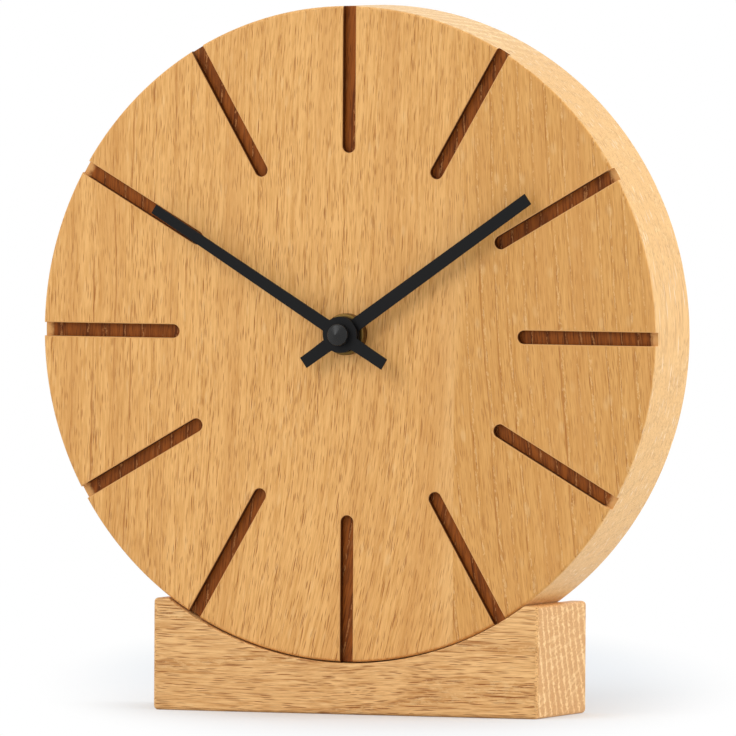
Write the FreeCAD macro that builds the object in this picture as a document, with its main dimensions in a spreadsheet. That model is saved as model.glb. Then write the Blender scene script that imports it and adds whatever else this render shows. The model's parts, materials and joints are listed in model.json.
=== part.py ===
import FreeCAD, Part
import Sketcher
import math
import os
import re

# A table clock of oak: a round dial block with twelve routed hour grooves stands in the cradle of a low
# base block, and a battery movement in its back drives two black hands.
#
# Frame, in millimetres: +X to the right of someone facing the dial, +Y to the back, +Z up,
# with the origin in the middle of the base block's underside.

BACKWARD = FreeCAD.Vector(0, 1, 0)
CENTRE = FreeCAD.Vector(0, 0, 0)
FULL_TURN = 360.0
TOLERANCE = 1e-6

# ---------------------------------------------------------------------------------------------------
# Driving dimensions: alias, value, meaning. Lengths are in millimetres and angles in degrees.
# ---------------------------------------------------------------------------------------------------

DRIVING_SIZES = (
    # oak blocks
    ("dial_diameter", 170.0, "across the round dial block"),
    ("dial_thickness", 26.0, "front to back of the dial block"),
    ("dial_edge_bevel", 0.6, "bevel along the dial block's front rim"),
    ("base_width", 107.0, "left to right of the base block"),
    ("base_depth", 36.0, "front to back of the base block"),
    ("base_height", 29.2, "height of the base block"),
    ("base_edge_bevel", 0.8, "bevel along the base block's edges"),
    ("base_front_lead", 1.0, "how far the base stands out in front of the dial"),
    ("base_web", 13.3, "oak left under the cradle at its lowest point"),
    ("cradle_gap", 0.3, "glue line between the cradle and the dial block"),
    ("groove_count", 12, "hour grooves"),
    ("groove_width", 3.6, "width of an hour groove"),
    ("groove_depth", 2.0, "depth of an hour groove"),
    ("groove_inner_radius", 47.0, "dial centre to the round inner end of a groove"),
    # loose tenon that ties the dial block to the base
    ("tenon_width", 30.0, "beech tenon, left to right"),
    ("tenon_thickness", 8.0, "beech tenon, front to back"),
    ("tenon_length", 24.0, "beech tenon, bottom to top"),
    ("tenon_base_depth", 11.0, "length of the tenon inside the base at its two sides"),
    ("tenon_fit", 0.05, "glue space round and past the ends of the tenon"),
    # recess for the movement
    ("web_thickness", 5.5, "oak left in front of the movement"),
    ("recess_clearance", 2.0, "space round the movement in its recess"),
    ("recess_corner_radius", 4.0, "corner radius left by the router bit"),
    ("bush_clearance", 0.25, "radial space round the bush in the dial block"),
    # movement case
    ("case_height", 56.0, "movement case, bottom to top"),
    ("case_depth", 16.0, "movement case, front to back"),
    ("case_wall", 1.2, "wall of the movement case"),
    ("case_corner_radius", 3.0, "outer corner radius of the movement case"),
    ("cover_thickness", 1.6, "back cover of the movement"),
    ("cover_lip_height", 1.0, "locating lip of the back cover"),
    ("cover_lip_fit", 0.15, "space between the lip and the case walls"),
    # battery, its bay and its contacts
    ("cell_diameter", 14.5, "AA cell"),
    ("cell_length", 50.5, "AA cell, over its button"),
    ("cell_button_diameter", 5.5, "button of the cell"),
    ("cell_button_height", 1.0, "button of the cell"),
    ("cell_clearance", 0.15, "space between the cell and the bay"),
    ("bay_opening_margin", 0.8, "case wall covered at each end of the bay opening"),
    ("contact_thickness", 0.4, "battery contact strip"),
    ("contact_width", 8.0, "battery contact strip, bottom to top"),
    ("contact_gap", 0.05, "between the cell and a contact"),
    ("contact_room", 1.55, "each end of the cell to the bay wall, where a contact folds back"),
    # hub, from the dial face forward
    ("washer_thickness", 1.0, "rubber washer between the case and the oak"),
    ("washer_width", 22.0, "square rubber washer, each side"),
    ("bush_diameter", 8.0, "threaded bush, over its thread"),
    ("nut_diameter", 10.8, "round brass hub nut"),
    ("nut_thickness", 2.8, "round brass hub nut"),
    ("nut_chamfer", 0.4, "front chamfer of the hub nut"),
    ("bush_proud", 0.4, "bush standing out of the nut"),
    ("hand_clearance", 0.4, "bush end to the back of the hour hand"),
    ("tube_proud", 0.3, "hour tube standing out of the hour hand"),
    ("hand_spacing", 1.0, "front of the hour hand to the back of the minute hand"),
    ("arbor_proud", 1.6, "minute arbor standing out of the minute hand"),
    ("tube_radius", 2.5, "outside of the hour tube"),
    ("arbor_radius", 1.75, "front of the minute arbor"),
    ("arbor_rear_radius", 1.2, "rear of the minute arbor, behind its pinion"),
    ("press_fit", 0.02, "radial allowance of pieces pressed together"),
    ("running_gap", 0.05, "radial clearance of turning fits"),
    # hands and cap
    ("hand_thickness", 0.6, "sheet thickness of the hands"),
    ("hand_hub_diameter", 9.4, "round hub of each hand"),
    ("minute_length", 61.0, "hub centre to the tip of the minute hand"),
    ("minute_tail", 14.4, "hub centre to the tail end of the minute hand"),
    ("minute_width", 3.1, "minute hand at its tail end"),
    ("minute_tip_width", 2.6, "minute hand at its tip"),
    ("hour_length", 62.4, "hub centre to the tip of the hour hand"),
    ("hour_tail", 13.1, "hub centre to the tail end of the hour hand"),
    ("hour_width", 3.2, "hour hand, even along its length"),
    ("minute_hand_angle", 301.5, "clockwise from twelve"),
    ("hour_hand_angle", 55.0, "clockwise from twelve"),
    ("cap_diameter", 5.6, "hand cap"),
    ("cap_skirt", 1.8, "straight side of the hand cap"),
    ("cap_point", 1.3, "height of the cap's cone"),
    # gear teeth, as shares of the module
    ("wheel_addendum", 0.85, "wheel teeth above the pitch circle"),
    ("wheel_dedendum", 1.6, "bottom of the gap between wheel teeth below the pitch circle"),
    ("wheel_tip_width", 0.50, "land at the tip of a wheel tooth"),
    ("leaf_addendum", 0.8, "pinion leaves above the pitch circle"),
    ("leaf_dedendum", 1.15, "foot of a pinion leaf below the pitch circle"),
    ("leaf_foot_width", 1.13, "pinion leaf at its foot"),
    ("leaf_tip_width", 0.38, "pinion leaf at its tip"),
    # motion work, which gears the hour hand down from the minute hand
    ("cannon_teeth", 8, "pinion on the minute arbor"),
    ("motion_teeth", 24, "motion wheel"),
    ("motion_pinion_leaves", 6, "pinion of the motion wheel"),
    ("hour_teeth", 24, "hour wheel"),
    ("motion_module", 0.45, "cannon pinion and motion wheel"),
    ("hour_wheel_thickness", 1.0, "hour wheel"),
    # going train
    ("centre_teeth", 48, "centre wheel on the minute arbor"),
    ("third_pinion_leaves", 6, "pinion of the third wheel"),
    ("third_teeth", 45, "third wheel"),
    ("seconds_pinion_leaves", 6, "pinion of the seconds wheel"),
    ("seconds_teeth", 30, "seconds wheel"),
    ("fifth_pinion_leaves", 6, "pinion of the fifth wheel"),
    ("fifth_teeth", 36, "fifth wheel"),
    ("rotor_pinion_leaves", 6, "pinion of the rotor"),
    ("centre_module", 0.29, "centre wheel and third pinion"),
    ("seconds_module", 0.44, "seconds wheel and fifth pinion"),
    ("rotor_module", 0.27, "fifth wheel and rotor pinion"),
    ("third_direction", 150.0, "direction from the hand axis to the third wheel, from +X towards +Z"),
    # layers of the movement, from the case floor back
    ("floor_gap", 0.4, "case floor to the hour wheel"),
    ("wheel_thickness", 0.8, "every wheel but the hour wheel"),
    ("layer_gap", 0.7, "between wheels of neighbouring layers"),
    ("pinion_overhang", 0.2, "pinion past each face of the wheel it meshes with"),
    ("plate_gap", 0.4, "between a plate and the wheel beside it"),
    ("plate_thickness", 0.6, "middle plate"),
    ("bridge_thickness", 0.8, "train bridge"),
    ("train_arbor_radius", 0.45, "arbors of the going train"),
    ("arbor_sides", 10, "flats that stand for the round of an arbor under a millimetre across"),
    ("pivot_radius", 0.3, "pivots at the arbor ends"),
    ("pivot_shoulder_gap", 0.05, "arbor shoulder to its plate"),
    ("motion_pivot_depth", 0.7, "pivot holes in the case floor"),
    ("seconds_front_reach", 4.8, "seconds arbor in front of its pinion, inside the minute arbor"),
    # plates and posts
    ("plate_left", 14.5, "hand axis to the plates' left edge"),
    ("plate_right", 17.0, "hand axis to the plates' right edge"),
    ("plate_top", 16.0, "hand axis to the plates' top edge"),
    ("plate_bay_gap", 1.0, "bay partition to the plates' bottom edge"),
    ("shaft_notch_gap", 0.4, "setting shaft to its notch in the plates' right edge"),
    ("pillar_inset", 2.5, "plate edges to the pillar centres"),
    ("post_width", 3.0, "square posts on the case floor"),
    ("pillar_width", 2.4, "square pillars between the plates"),
    ("stake_width", 1.3, "square stakes on posts and pillars"),
    ("stake_fit", 0.05, "space on each side of a stake"),
    ("stake_height", 0.5, "stake standing out of the piece it holds"),
    # stepping motor
    ("magnet_radius", 3.0, "rotor magnet"),
    ("magnet_thickness", 2.0, "rotor magnet"),
    ("air_gap", 0.6, "rotor magnet to the stator"),
    ("stator_thickness", 1.0, "stator plate"),
    ("stator_rim", 1.2, "stator left round the rotor hole"),
    ("stator_bridge", 0.81, "stator left between the rotor hole and the coil"),
    ("stator_half_width", 11.8, "hand axis to the side of the stator"),
    ("stator_leg_width", 4.0, "leg of the stator"),
    ("coil_length", 14.4, "coil bobbin over its flanges"),
    ("coil_flange_thickness", 0.6, "coil bobbin flange"),
    ("coil_tube_wall", 0.6, "wall of the bobbin's tube round the core"),
    ("winding_inset", 0.3, "copper winding below the flange rim"),
    ("coil_ceiling_gap", 0.3, "coil flange to the case wall"),
    ("core_thickness", 1.0, "iron core of the coil"),
    ("core_width", 3.0, "iron core of the coil"),
    ("core_fit", 0.05, "space between the core and the bobbin"),
    # circuit board
    ("board_wall_gap", 0.5, "case wall to the board's left edge"),
    ("board_width", 8.8, "circuit board, left to right"),
    ("board_end_gap", 2.8, "chamber's bottom and top walls to the ends of the board"),
    ("board_thickness", 0.8, "circuit board"),
    ("board_lift", 5.4, "case floor to the circuit board"),
    ("board_stake_inset", 3.6, "board ends to its stakes"),
    ("chip_size", 5.0, "control chip, each side"),
    ("chip_thickness", 1.2, "control chip"),
    ("chip_drop", 15.0, "board top down to the chip's middle"),
    ("crystal_diameter", 2.0, "quartz crystal can"),
    ("crystal_length", 6.0, "quartz crystal can"),
    ("crystal_drop", 9.0, "board top down to the crystal's top end"),
    # setting knob
    ("setting_teeth", 8, "pinion of the setting shaft"),
    ("setting_shaft_radius", 1.2, "setting shaft"),
    ("knob_diameter", 11.0, "setting knob over its ribs"),
    ("knob_thickness", 2.4, "setting knob"),
    ("knob_rib_depth", 0.5, "grip ribs of the setting knob"),
    ("knob_rib_width", 0.8, "land of a grip rib"),
    ("knob_ribs", 16, "grip ribs of the setting knob"),
    ("knob_gap", 0.3, "back cover to the setting knob"),
)

# ---------------------------------------------------------------------------------------------------
# Places worked out from the driving dimensions: alias, formula. Names that end in _y are depths behind
# the front of the movement case, and the dial face and the hands lie in front of it, at negative depths.
# ---------------------------------------------------------------------------------------------------

WORKED_OUT = (
    ("dial_radius", "dial_diameter / 2"),
    ("dial_centre_z", "base_web + cradle_gap + dial_radius"),
    ("base_front_y", "-base_depth / 2"),
    ("dial_front_y", "base_front_y + base_front_lead"),
    ("dial_middle_y", "dial_front_y + dial_thickness / 2"),
    ("movement_y", "dial_front_y + web_thickness + washer_thickness"),
    ("tenon_x", "tenon_width / 2"),
    ("cradle_z_at_tenon", "dial_centre_z - sqrt(pow(dial_radius; 2) - pow(tenon_x; 2))"),
    ("tenon_foot_z", "cradle_z_at_tenon - tenon_base_depth"),
    ("mortise_half_width", "tenon_x + tenon_fit"),
    ("mortise_half_thickness", "tenon_thickness / 2 + tenon_fit"),
    ("groove_end_radius", "groove_width / 2"),
    ("groove_end_centre", "groove_inner_radius + groove_end_radius"),
    # the hub, forward from the dial face
    ("face_y", "-web_thickness - washer_thickness"),
    ("nut_front_y", "face_y - nut_thickness"),
    ("bush_front_y", "nut_front_y - bush_proud"),
    ("hour_hand_back_y", "bush_front_y - hand_clearance"),
    ("hour_hand_front_y", "hour_hand_back_y - hand_thickness"),
    ("tube_front_y", "hour_hand_front_y - tube_proud"),
    ("minute_hand_back_y", "hour_hand_front_y - hand_spacing"),
    ("minute_hand_front_y", "minute_hand_back_y - hand_thickness"),
    ("arbor_front_y", "minute_hand_front_y - arbor_proud"),
    ("bush_radius", "bush_diameter / 2"),
    ("bush_bore_radius", "tube_radius + running_gap"),
    ("tube_bore_radius", "arbor_radius + running_gap"),
    ("arbor_bore_radius", "train_arbor_radius + running_gap"),
    # the case
    ("case_half_width", "cell_length / 2 + contact_room + case_wall"),
    ("case_half_height", "case_height / 2"),
    ("inner_half_width", "case_half_width - case_wall"),
    ("inner_half_height", "case_half_height - case_wall"),
    ("case_rim_y", "case_depth - cover_thickness"),
    ("cell_radius", "cell_diameter / 2"),
    ("bay_bottom", "-inner_half_height"),
    ("bay_top", "bay_bottom + cell_diameter + 2 * cell_clearance"),
    ("chamber_bottom", "bay_top + case_wall"),
    ("cell_z", "bay_bottom + cell_clearance + cell_radius"),
    ("cell_y", "case_wall + cell_clearance + cell_radius"),
    ("cell_half_length", "cell_length / 2"),
    ("contact_inner_x", "cell_half_length + contact_gap"),
    # wheel layers
    ("hour_wheel_y", "case_wall + floor_gap"),
    ("motion_wheel_y", "hour_wheel_y + hour_wheel_thickness + layer_gap"),
    ("middle_plate_y", "motion_wheel_y + wheel_thickness + plate_gap"),
    ("middle_plate_back_y", "middle_plate_y + plate_thickness"),
    ("centre_wheel_y", "middle_plate_back_y + plate_gap"),
    ("third_wheel_y", "centre_wheel_y + wheel_thickness + layer_gap"),
    ("seconds_wheel_y", "third_wheel_y + wheel_thickness + layer_gap"),
    ("fifth_wheel_y", "seconds_wheel_y + wheel_thickness + layer_gap"),
    ("bridge_y", "fifth_wheel_y + wheel_thickness + 2 * plate_gap"),
    ("bridge_back_y", "bridge_y + bridge_thickness"),
    ("minute_arbor_back_y", "centre_wheel_y + wheel_thickness + pinion_overhang"),
    # axes of the wheels, from the hand axis
    ("motion_x", "motion_module * (cannon_teeth + motion_teeth) / 2"),
    ("hour_module", "2 * motion_x / (motion_pinion_leaves + hour_teeth)"),
    ("setting_x", "motion_x + motion_module * (motion_teeth + setting_teeth) / 2"),
    ("third_distance", "centre_module * (centre_teeth + third_pinion_leaves) / 2"),
    ("third_module", "2 * third_distance / (third_teeth + seconds_pinion_leaves)"),
    ("third_x", "third_distance * cos(third_direction)"),
    ("third_z", "third_distance * sin(third_direction)"),
    ("fifth_z", "seconds_module * (seconds_teeth + fifth_pinion_leaves) / 2"),
    ("rotor_z", "fifth_z + rotor_module * (fifth_teeth + rotor_pinion_leaves) / 2"),
    # plates and pillars
    ("plate_bottom", "chamber_bottom + plate_bay_gap"),
    ("pillar_left", "-plate_left + pillar_inset"),
    ("pillar_right", "plate_right - pillar_inset"),
    ("pillar_bottom", "plate_bottom + pillar_inset"),
    ("pillar_top", "plate_top - pillar_inset"),
    ("stake_hole_width", "stake_width + 2 * stake_fit"),
    ("pivot_hole_radius", "pivot_radius + running_gap"),
    ("shaft_hole_radius", "setting_shaft_radius + running_gap"),
    ("notch_half_height", "setting_shaft_radius + shaft_notch_gap"),
    ("notch_left", "setting_x - notch_half_height"),
    # motor
    ("stator_y", "centre_wheel_y"),
    ("stator_hole_radius", "magnet_radius + air_gap"),
    ("stator_outer_radius", "stator_hole_radius + stator_rim"),
    ("core_y", "stator_y + stator_thickness"),
    ("coil_y", "core_y + core_thickness / 2"),
    ("stator_shoulder_z", "rotor_z + stator_hole_radius + stator_bridge"),
    ("coil_bottom", "stator_shoulder_z + winding_inset"),
    ("coil_flange_width", "inner_half_height - coil_ceiling_gap - coil_bottom"),
    ("coil_z", "coil_bottom + coil_flange_width / 2"),
    ("stator_stake_x", "stator_half_width - stator_leg_width / 2"),
    ("core_end_z", "core_width / 2 + winding_inset"),
    ("coil_tube_depth", "core_thickness + 2 * (core_fit + coil_tube_wall)"),
    ("coil_tube_height", "core_width + 2 * (core_fit + coil_tube_wall)"),
    ("winding_width", "coil_flange_width - 2 * winding_inset"),
    # board
    ("board_y", "case_wall + board_lift"),
    ("board_back_y", "board_y + board_thickness"),
    ("board_left", "board_wall_gap - inner_half_width"),
    ("board_right", "board_left + board_width"),
    ("board_middle_x", "board_left + board_width / 2"),
    ("board_bottom", "chamber_bottom + board_end_gap"),
    ("board_top", "inner_half_height - board_end_gap"),
    ("board_stake_top", "board_top - board_stake_inset"),
    ("board_stake_bottom", "board_bottom + board_stake_inset"),
    # knob
    ("knob_y", "case_depth + knob_gap"),
)

doc = FreeCAD.newDocument("DeskClock")
sizes = doc.addObject("Spreadsheet::Sheet", "Sizes")
places = doc.addObject("Spreadsheet::Sheet", "Places")
SHEET_OF = {alias: "Sizes" for alias, value, meaning in DRIVING_SIZES}
SHEET_OF.update({alias: "Places" for alias, formula in WORKED_OUT})


def spelled(formula):
    """Put the name of its sheet in front of every alias in a formula."""
    def with_sheet(word):
        alias = word.group(0)
        return f"{SHEET_OF[alias]}.{alias}" if alias in SHEET_OF else alias
    return re.sub(r"[a-z_]+", with_sheet, formula)


for row, (alias, value, meaning) in enumerate(DRIVING_SIZES, start=1):
    sizes.set(f"A{row}", alias)
    sizes.set(f"B{row}", str(value))
    sizes.set(f"C{row}", meaning)
    sizes.setAlias(f"B{row}", alias)
doc.recompute()
for row, (alias, formula) in enumerate(WORKED_OUT, start=1):
    places.set(f"A{row}", alias)
    places.set(f"B{row}", "=" + spelled(formula))
    places.setAlias(f"B{row}", alias)
    doc.recompute()


def number(alias):
    """The present value of an alias, for shapes that are made by a loop."""
    sheet = doc.getObject(SHEET_OF[alias])
    return float(sheet.get(alias))


# ---------------------------------------------------------------------------------------------------
# Ways of making a piece
# ---------------------------------------------------------------------------------------------------

SUB_PARTS = []


def bind(item, **formulas):
    """Tie properties to formulas; a double underscore in a name stands for a dot."""
    for name, formula in formulas.items():
        item.setExpression(name.replace("__", "."), spelled(formula))


def new_body(label, across="0", depth="0", up="0"):
    """A PartDesign body that stands at a place worked out from the sheets."""
    body = doc.addObject("PartDesign::Body", label)
    body.Label = label
    bind(body, Placement__Base__x=across, Placement__Base__y=depth, Placement__Base__z=up)
    SUB_PARTS.append(body)
    return body


def movement_body(label, across="0", depth="0", up="0"):
    """A body placed from the front of the movement case, on the hand axis."""
    return new_body(label, across, f"movement_y + {depth}", f"dial_centre_z + {up}")


def origin_feature(body, role):
    """The plane or axis of a body's own origin that plays a role."""
    return next(feature for feature in body.Origin.OriginFeatures if feature.Role == role)


def sketch_on(body, name, role="XZ_Plane", offset="0"):
    """A sketch on one of the body's own planes, moved along the plane's normal."""
    sketch = body.newObject("Sketcher::SketchObject", f"{body.Label}_{name}")
    sketch.AttachmentSupport = [(origin_feature(body, role), "")]
    sketch.MapMode = "FlatFace"
    bind(sketch, AttachmentOffset__Base__z=offset)
    return sketch


def constrain(sketch, kind, formula, *where):
    """Add a measured constraint and tie it to a formula."""
    index = sketch.addConstraint(Sketcher.Constraint(kind, *where, 1.0))
    sketch.setExpression(f"Constraints[{index}]", spelled(formula))


def hold_point(sketch, edge, end, across, up):
    """Hold one point of a sketch at two formulas, measured from the sketch's origin."""
    for kind, formula, axis in (("DistanceX", across, -2), ("DistanceY", up, -1)):
        if formula == "0":
            sketch.addConstraint(Sketcher.Constraint("PointOnObject", edge, end, axis))
        else:
            constrain(sketch, kind, formula, -1, 1, edge, end)


def draw_circle(sketch, radius, across="0", up="0"):
    """A circle held by its centre and radius."""
    edge = sketch.addGeometry(Part.Circle(CENTRE, FreeCAD.Vector(0, 0, 1), 1.0), False)
    hold_point(sketch, edge, 3, across, up)
    constrain(sketch, "Radius", radius, edge)


def draw_outline(sketch, corners):
    """A closed outline of straight edges, held at each corner."""
    count = len(corners)
    first = sketch.GeometryCount
    ring = [FreeCAD.Vector(math.cos(step), math.sin(step), 0)
            for step in (2 * math.pi * index / count for index in range(count))]
    for index in range(count):
        sketch.addGeometry(Part.LineSegment(ring[index], ring[(index + 1) % count]), False)
    for index, (across, up) in enumerate(corners):
        after = first + (index + 1) % count
        sketch.addConstraint(Sketcher.Constraint("Coincident", first + index, 2, after, 1))
        hold_point(sketch, first + index, 1, across, up)


def draw_thin_hole(sketch, radius, across, up):
    """A small hole with flats in place of its round, like the thin arbor that turns in it."""
    turns = [f"(({side} + 1 / 2) * {FULL_TURN} / arbor_sides)" for side in range(int(number("arbor_sides")))]
    draw_outline(sketch, [(f"{across} + {radius} * cos({turn})", f"{up} + {radius} * sin({turn})")
                          for turn in turns])


def draw_box(sketch, left, right, bottom, top):
    """A rectangle with its sides at four formulas."""
    draw_outline(sketch, ((left, bottom), (right, bottom), (right, top), (left, top)))


def draw_square(sketch, width, across, up):
    """An upright square about a spot."""
    half = f"({width}) / 2"
    draw_box(sketch, f"{across} - {half}", f"{across} + {half}", f"{up} - {half}", f"{up} + {half}")


def add_feature(body, kind, sketch, name, **formulas):
    """A sketch-based feature of a body, computed and checked at once."""
    feature = body.newObject(f"PartDesign::{kind}", f"{body.Label}_{name}")
    feature.Profile = sketch
    feature.Reversed = kind == "Pad"
    bind(feature, **formulas)
    doc.recompute()
    return feature


def pad_back(body, sketch, name, length):
    """Grow a solid backwards from a sketch that faces the front."""
    return add_feature(body, "Pad", sketch, name, Length=length)


def cut_back(body, sketch, name, length):
    """Cut from a sketch into the solid behind it, and make sure that something was cut away."""
    before = body.Shape.Volume
    pocket = add_feature(body, "Pocket", sketch, name, Length=length)
    if body.Shape.Volume > before - TOLERANCE:
        raise RuntimeError(f"{pocket.Label} cuts nothing")
    return pocket


def edge_names(shape, test):
    """Names of the edges of a shape that pass a test."""
    return [f"Edge{index}" for index, edge in enumerate(shape.Edges, start=1) if test(edge)]


def dress_edges(body, kind, name, size, test):
    """Fillet or chamfer the edges of a body that pass a test."""
    last = body.Tip
    feature = body.newObject(f"PartDesign::{kind}", f"{body.Label}_{name}")
    feature.Base = (last, edge_names(last.Shape, test))
    bind(feature, **{"Radius" if kind == "Fillet" else "Size": size})
    doc.recompute()
    return feature


def is_corner(half_width, half_height):
    """Test for the four straight corner edges that run front to back."""
    def test(edge):
        first, last = edge.Vertexes[0].Point, edge.Vertexes[-1].Point
        along_depth = abs(first.x - last.x) < TOLERANCE and abs(first.z - last.z) < TOLERANCE
        at_corner = (abs(abs(first.x) - half_width) < TOLERANCE
                     and abs(abs(first.z) - half_height) < TOLERANCE)
        return along_depth and at_corner
    return test


def turned_piece(label, profile, depth="0"):
    """A piece turned about its depth axis from (depth, radius) points, placed on the hand axis."""
    body = movement_body(label, depth=depth)
    sketch = sketch_on(body, "profile", "YZ_Plane")
    draw_outline(sketch, profile)
    turn = body.newObject("PartDesign::Revolution", f"{label}_turning")
    turn.Profile = sketch
    turn.ReferenceAxis = (sketch, ["H_Axis"])
    turn.Angle = FULL_TURN
    doc.recompute()
    return body


def flat_plate(label, corners, depth, thickness, holes=(), pivots=(), stakes=()):
    """A flat plate in the movement, with round holes (across, up, radius), pivot holes and stake holes."""
    body = movement_body(label, depth=depth)
    sketch = sketch_on(body, "outline")
    draw_outline(sketch, corners)
    for across, up, radius in holes:
        draw_circle(sketch, radius, across, up)
    for across, up in pivots:
        draw_thin_hole(sketch, "pivot_hole_radius", across, up)
    for across, up in stakes:
        draw_square(sketch, "stake_hole_width", across, up)
    pad_back(body, sketch, "plate", thickness)
    return body


def add_posts(body, name, spots, width, foot, top):
    """Square posts that grow backwards from one depth to another."""
    sketch = sketch_on(body, name, offset=f"-({foot})")
    for across, up in spots:
        draw_square(sketch, width, across, up)
    return pad_back(body, sketch, f"{name}_pad", f"{top} - ({foot})")


# ---------------------------------------------------------------------------------------------------
# Gears: each wheel or pinion is a ring of straight-flanked teeth, fused with its arbor. An arbor of about a
# millimetre has flats in place of its round.
# ---------------------------------------------------------------------------------------------------

def toothed_plate(count, flanks, phase, front, back):
    """A plate with a repeated tooth, whose outline is given as (radius, offset along the round) points."""
    points = []
    for tooth in range(count):
        middle = phase + 2 * math.pi * tooth / count
        for radius, offset in flanks:
            angle = middle + offset / radius
            points.append(FreeCAD.Vector(radius * math.cos(angle), front, radius * math.sin(angle)))
    outline = Part.makePolygon(points + points[:1])
    return Part.Face(outline).extrude(BACKWARD * (back - front))


def wheel_ring(teeth, module, phase, front, back):
    """Wheel teeth with pointed gaps, one tooth's middle at a phase in radians."""
    pitch_radius = module * teeth / 2
    gap = pitch_radius - number("wheel_dedendum") * module
    tip = pitch_radius + number("wheel_addendum") * module
    half_tip = number("wheel_tip_width") * module / 2
    flanks = ((gap, -math.pi * gap / teeth), (tip, -half_tip), (tip, half_tip))
    return toothed_plate(teeth, flanks, phase, front, back)


def pinion_ring(count, module, phase, front, back):
    """Pinion leaves with flat gaps, one leaf's middle at a phase in radians."""
    pitch_radius = module * count / 2
    foot = pitch_radius - number("leaf_dedendum") * module
    tip = pitch_radius + number("leaf_addendum") * module
    half_foot = number("leaf_foot_width") * module / 2
    half_tip = number("leaf_tip_width") * module / 2
    flanks = ((foot, -half_foot), (tip, -half_tip), (tip, half_tip), (foot, half_foot))
    return toothed_plate(count, flanks, phase, front, back)


def many_sided_bar(radius, front, back):
    """A thin bar about the depth axis, with flats in place of its round."""
    sides = int(number("arbor_sides"))
    points = []
    for side in range(sides):
        angle = 2 * math.pi * side / sides
        points.append(FreeCAD.Vector(radius * math.cos(angle), front, radius * math.sin(angle)))
    outline = Part.makePolygon(points + points[:1])
    return Part.Face(outline).extrude(BACKWARD * (back - front))


def stepped_arbor(steps):
    """A thin arbor from (radius, front, back) steps that follow each other."""
    bars = [many_sided_bar(*step) for step in steps]
    return bars[0].fuse(bars[1:])


def round_bar(radius, front, back):
    """A plain cylinder about the depth axis."""
    return Part.makeCylinder(radius, back - front, FreeCAD.Vector(0, front, 0), BACKWARD)


def meshed_phase(own_teeth, other_teeth, other_phase, direction):
    """The phase that puts a gap of this gear over the tooth of the other, seen in a direction from it."""
    other_pitch = 2 * math.pi / other_teeth
    offset = (other_phase - direction) % other_pitch
    return direction + math.pi - offset * other_teeth / own_teeth + math.pi / own_teeth


def movement_piece(label, shape, across=0.0, up=0.0):
    """A piece whose shape a loop made, placed on its own axis in the movement."""
    feature = doc.addObject("Part::Feature", label)
    feature.Label = label
    feature.Shape = shape.removeSplitter()
    place = FreeCAD.Vector(across, number("movement_y"), number("dial_centre_z") + up)
    feature.Placement = FreeCAD.Placement(place, FreeCAD.Rotation())
    SUB_PARTS.append(feature)
    return feature


# ---------------------------------------------------------------------------------------------------
# Base block: solid oak, planed square, edges eased, with a cradle cut to the dial block's round
# ---------------------------------------------------------------------------------------------------

base_block = new_body("base_block")
sketch = sketch_on(base_block, "front", offset="-base_front_y")
draw_box(sketch, "-base_width / 2", "base_width / 2", "0", "base_height")
pad_back(base_block, sketch, "blank", "base_depth")
dress_edges(base_block, "Chamfer", "eased_edges", "base_edge_bevel", lambda edge: True)

sketch = sketch_on(base_block, "cradle_round", offset="-base_front_y")
draw_circle(sketch, "dial_radius + cradle_gap", up="dial_centre_z")
cut_back(base_block, sketch, "cradle", "base_depth")

sketch = sketch_on(base_block, "mortise_outline", "XY_Plane", "tenon_foot_z - tenon_fit")
draw_box(sketch, "-mortise_half_width", "mortise_half_width",
         "dial_middle_y - mortise_half_thickness", "dial_middle_y + mortise_half_thickness")
mortise = add_feature(base_block, "Pocket", sketch, "mortise", Length="tenon_length")
mortise.Reversed = True
doc.recompute()

# ---------------------------------------------------------------------------------------------------
# Dial block: a round of glued oak staves. The hour grooves are routed from the front and run out through
# the rim. A square recess in the back takes the movement, and its bush passes through the web.
# ---------------------------------------------------------------------------------------------------

dial_block = new_body("dial_block", depth="dial_front_y", up="dial_centre_z")
sketch = sketch_on(dial_block, "round")
draw_circle(sketch, "dial_radius")
pad_back(dial_block, sketch, "blank", "dial_thickness")
dress_edges(dial_block, "Chamfer", "eased_rim", "dial_edge_bevel",
            lambda edge: abs(edge.CenterOfMass.y) < TOLERANCE)

sketch = sketch_on(dial_block, "recess_outline", offset="-web_thickness")
draw_box(sketch, "-case_half_width - recess_clearance", "case_half_width + recess_clearance",
         "-case_half_height - recess_clearance", "case_half_height + recess_clearance")
cut_back(dial_block, sketch, "recess", "dial_thickness - web_thickness")
recess_corner = is_corner(number("case_half_width") + number("recess_clearance"),
                          number("case_half_height") + number("recess_clearance"))
dress_edges(dial_block, "Fillet", "recess_corners", "recess_corner_radius", recess_corner)

sketch = sketch_on(dial_block, "bush_round")
draw_circle(sketch, "bush_radius + bush_clearance")
cut_back(dial_block, sketch, "bush_hole", "web_thickness")

# the mortise lies in the dial block's own frame, below its centre
sketch = sketch_on(dial_block, "mortise_outline", "XY_Plane",
                   "tenon_foot_z + tenon_length + tenon_fit - dial_centre_z")
draw_box(sketch, "-mortise_half_width", "mortise_half_width",
         "dial_thickness / 2 - mortise_half_thickness", "dial_thickness / 2 + mortise_half_thickness")
add_feature(dial_block, "Pocket", sketch, "mortise", Length="tenon_length")

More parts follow.
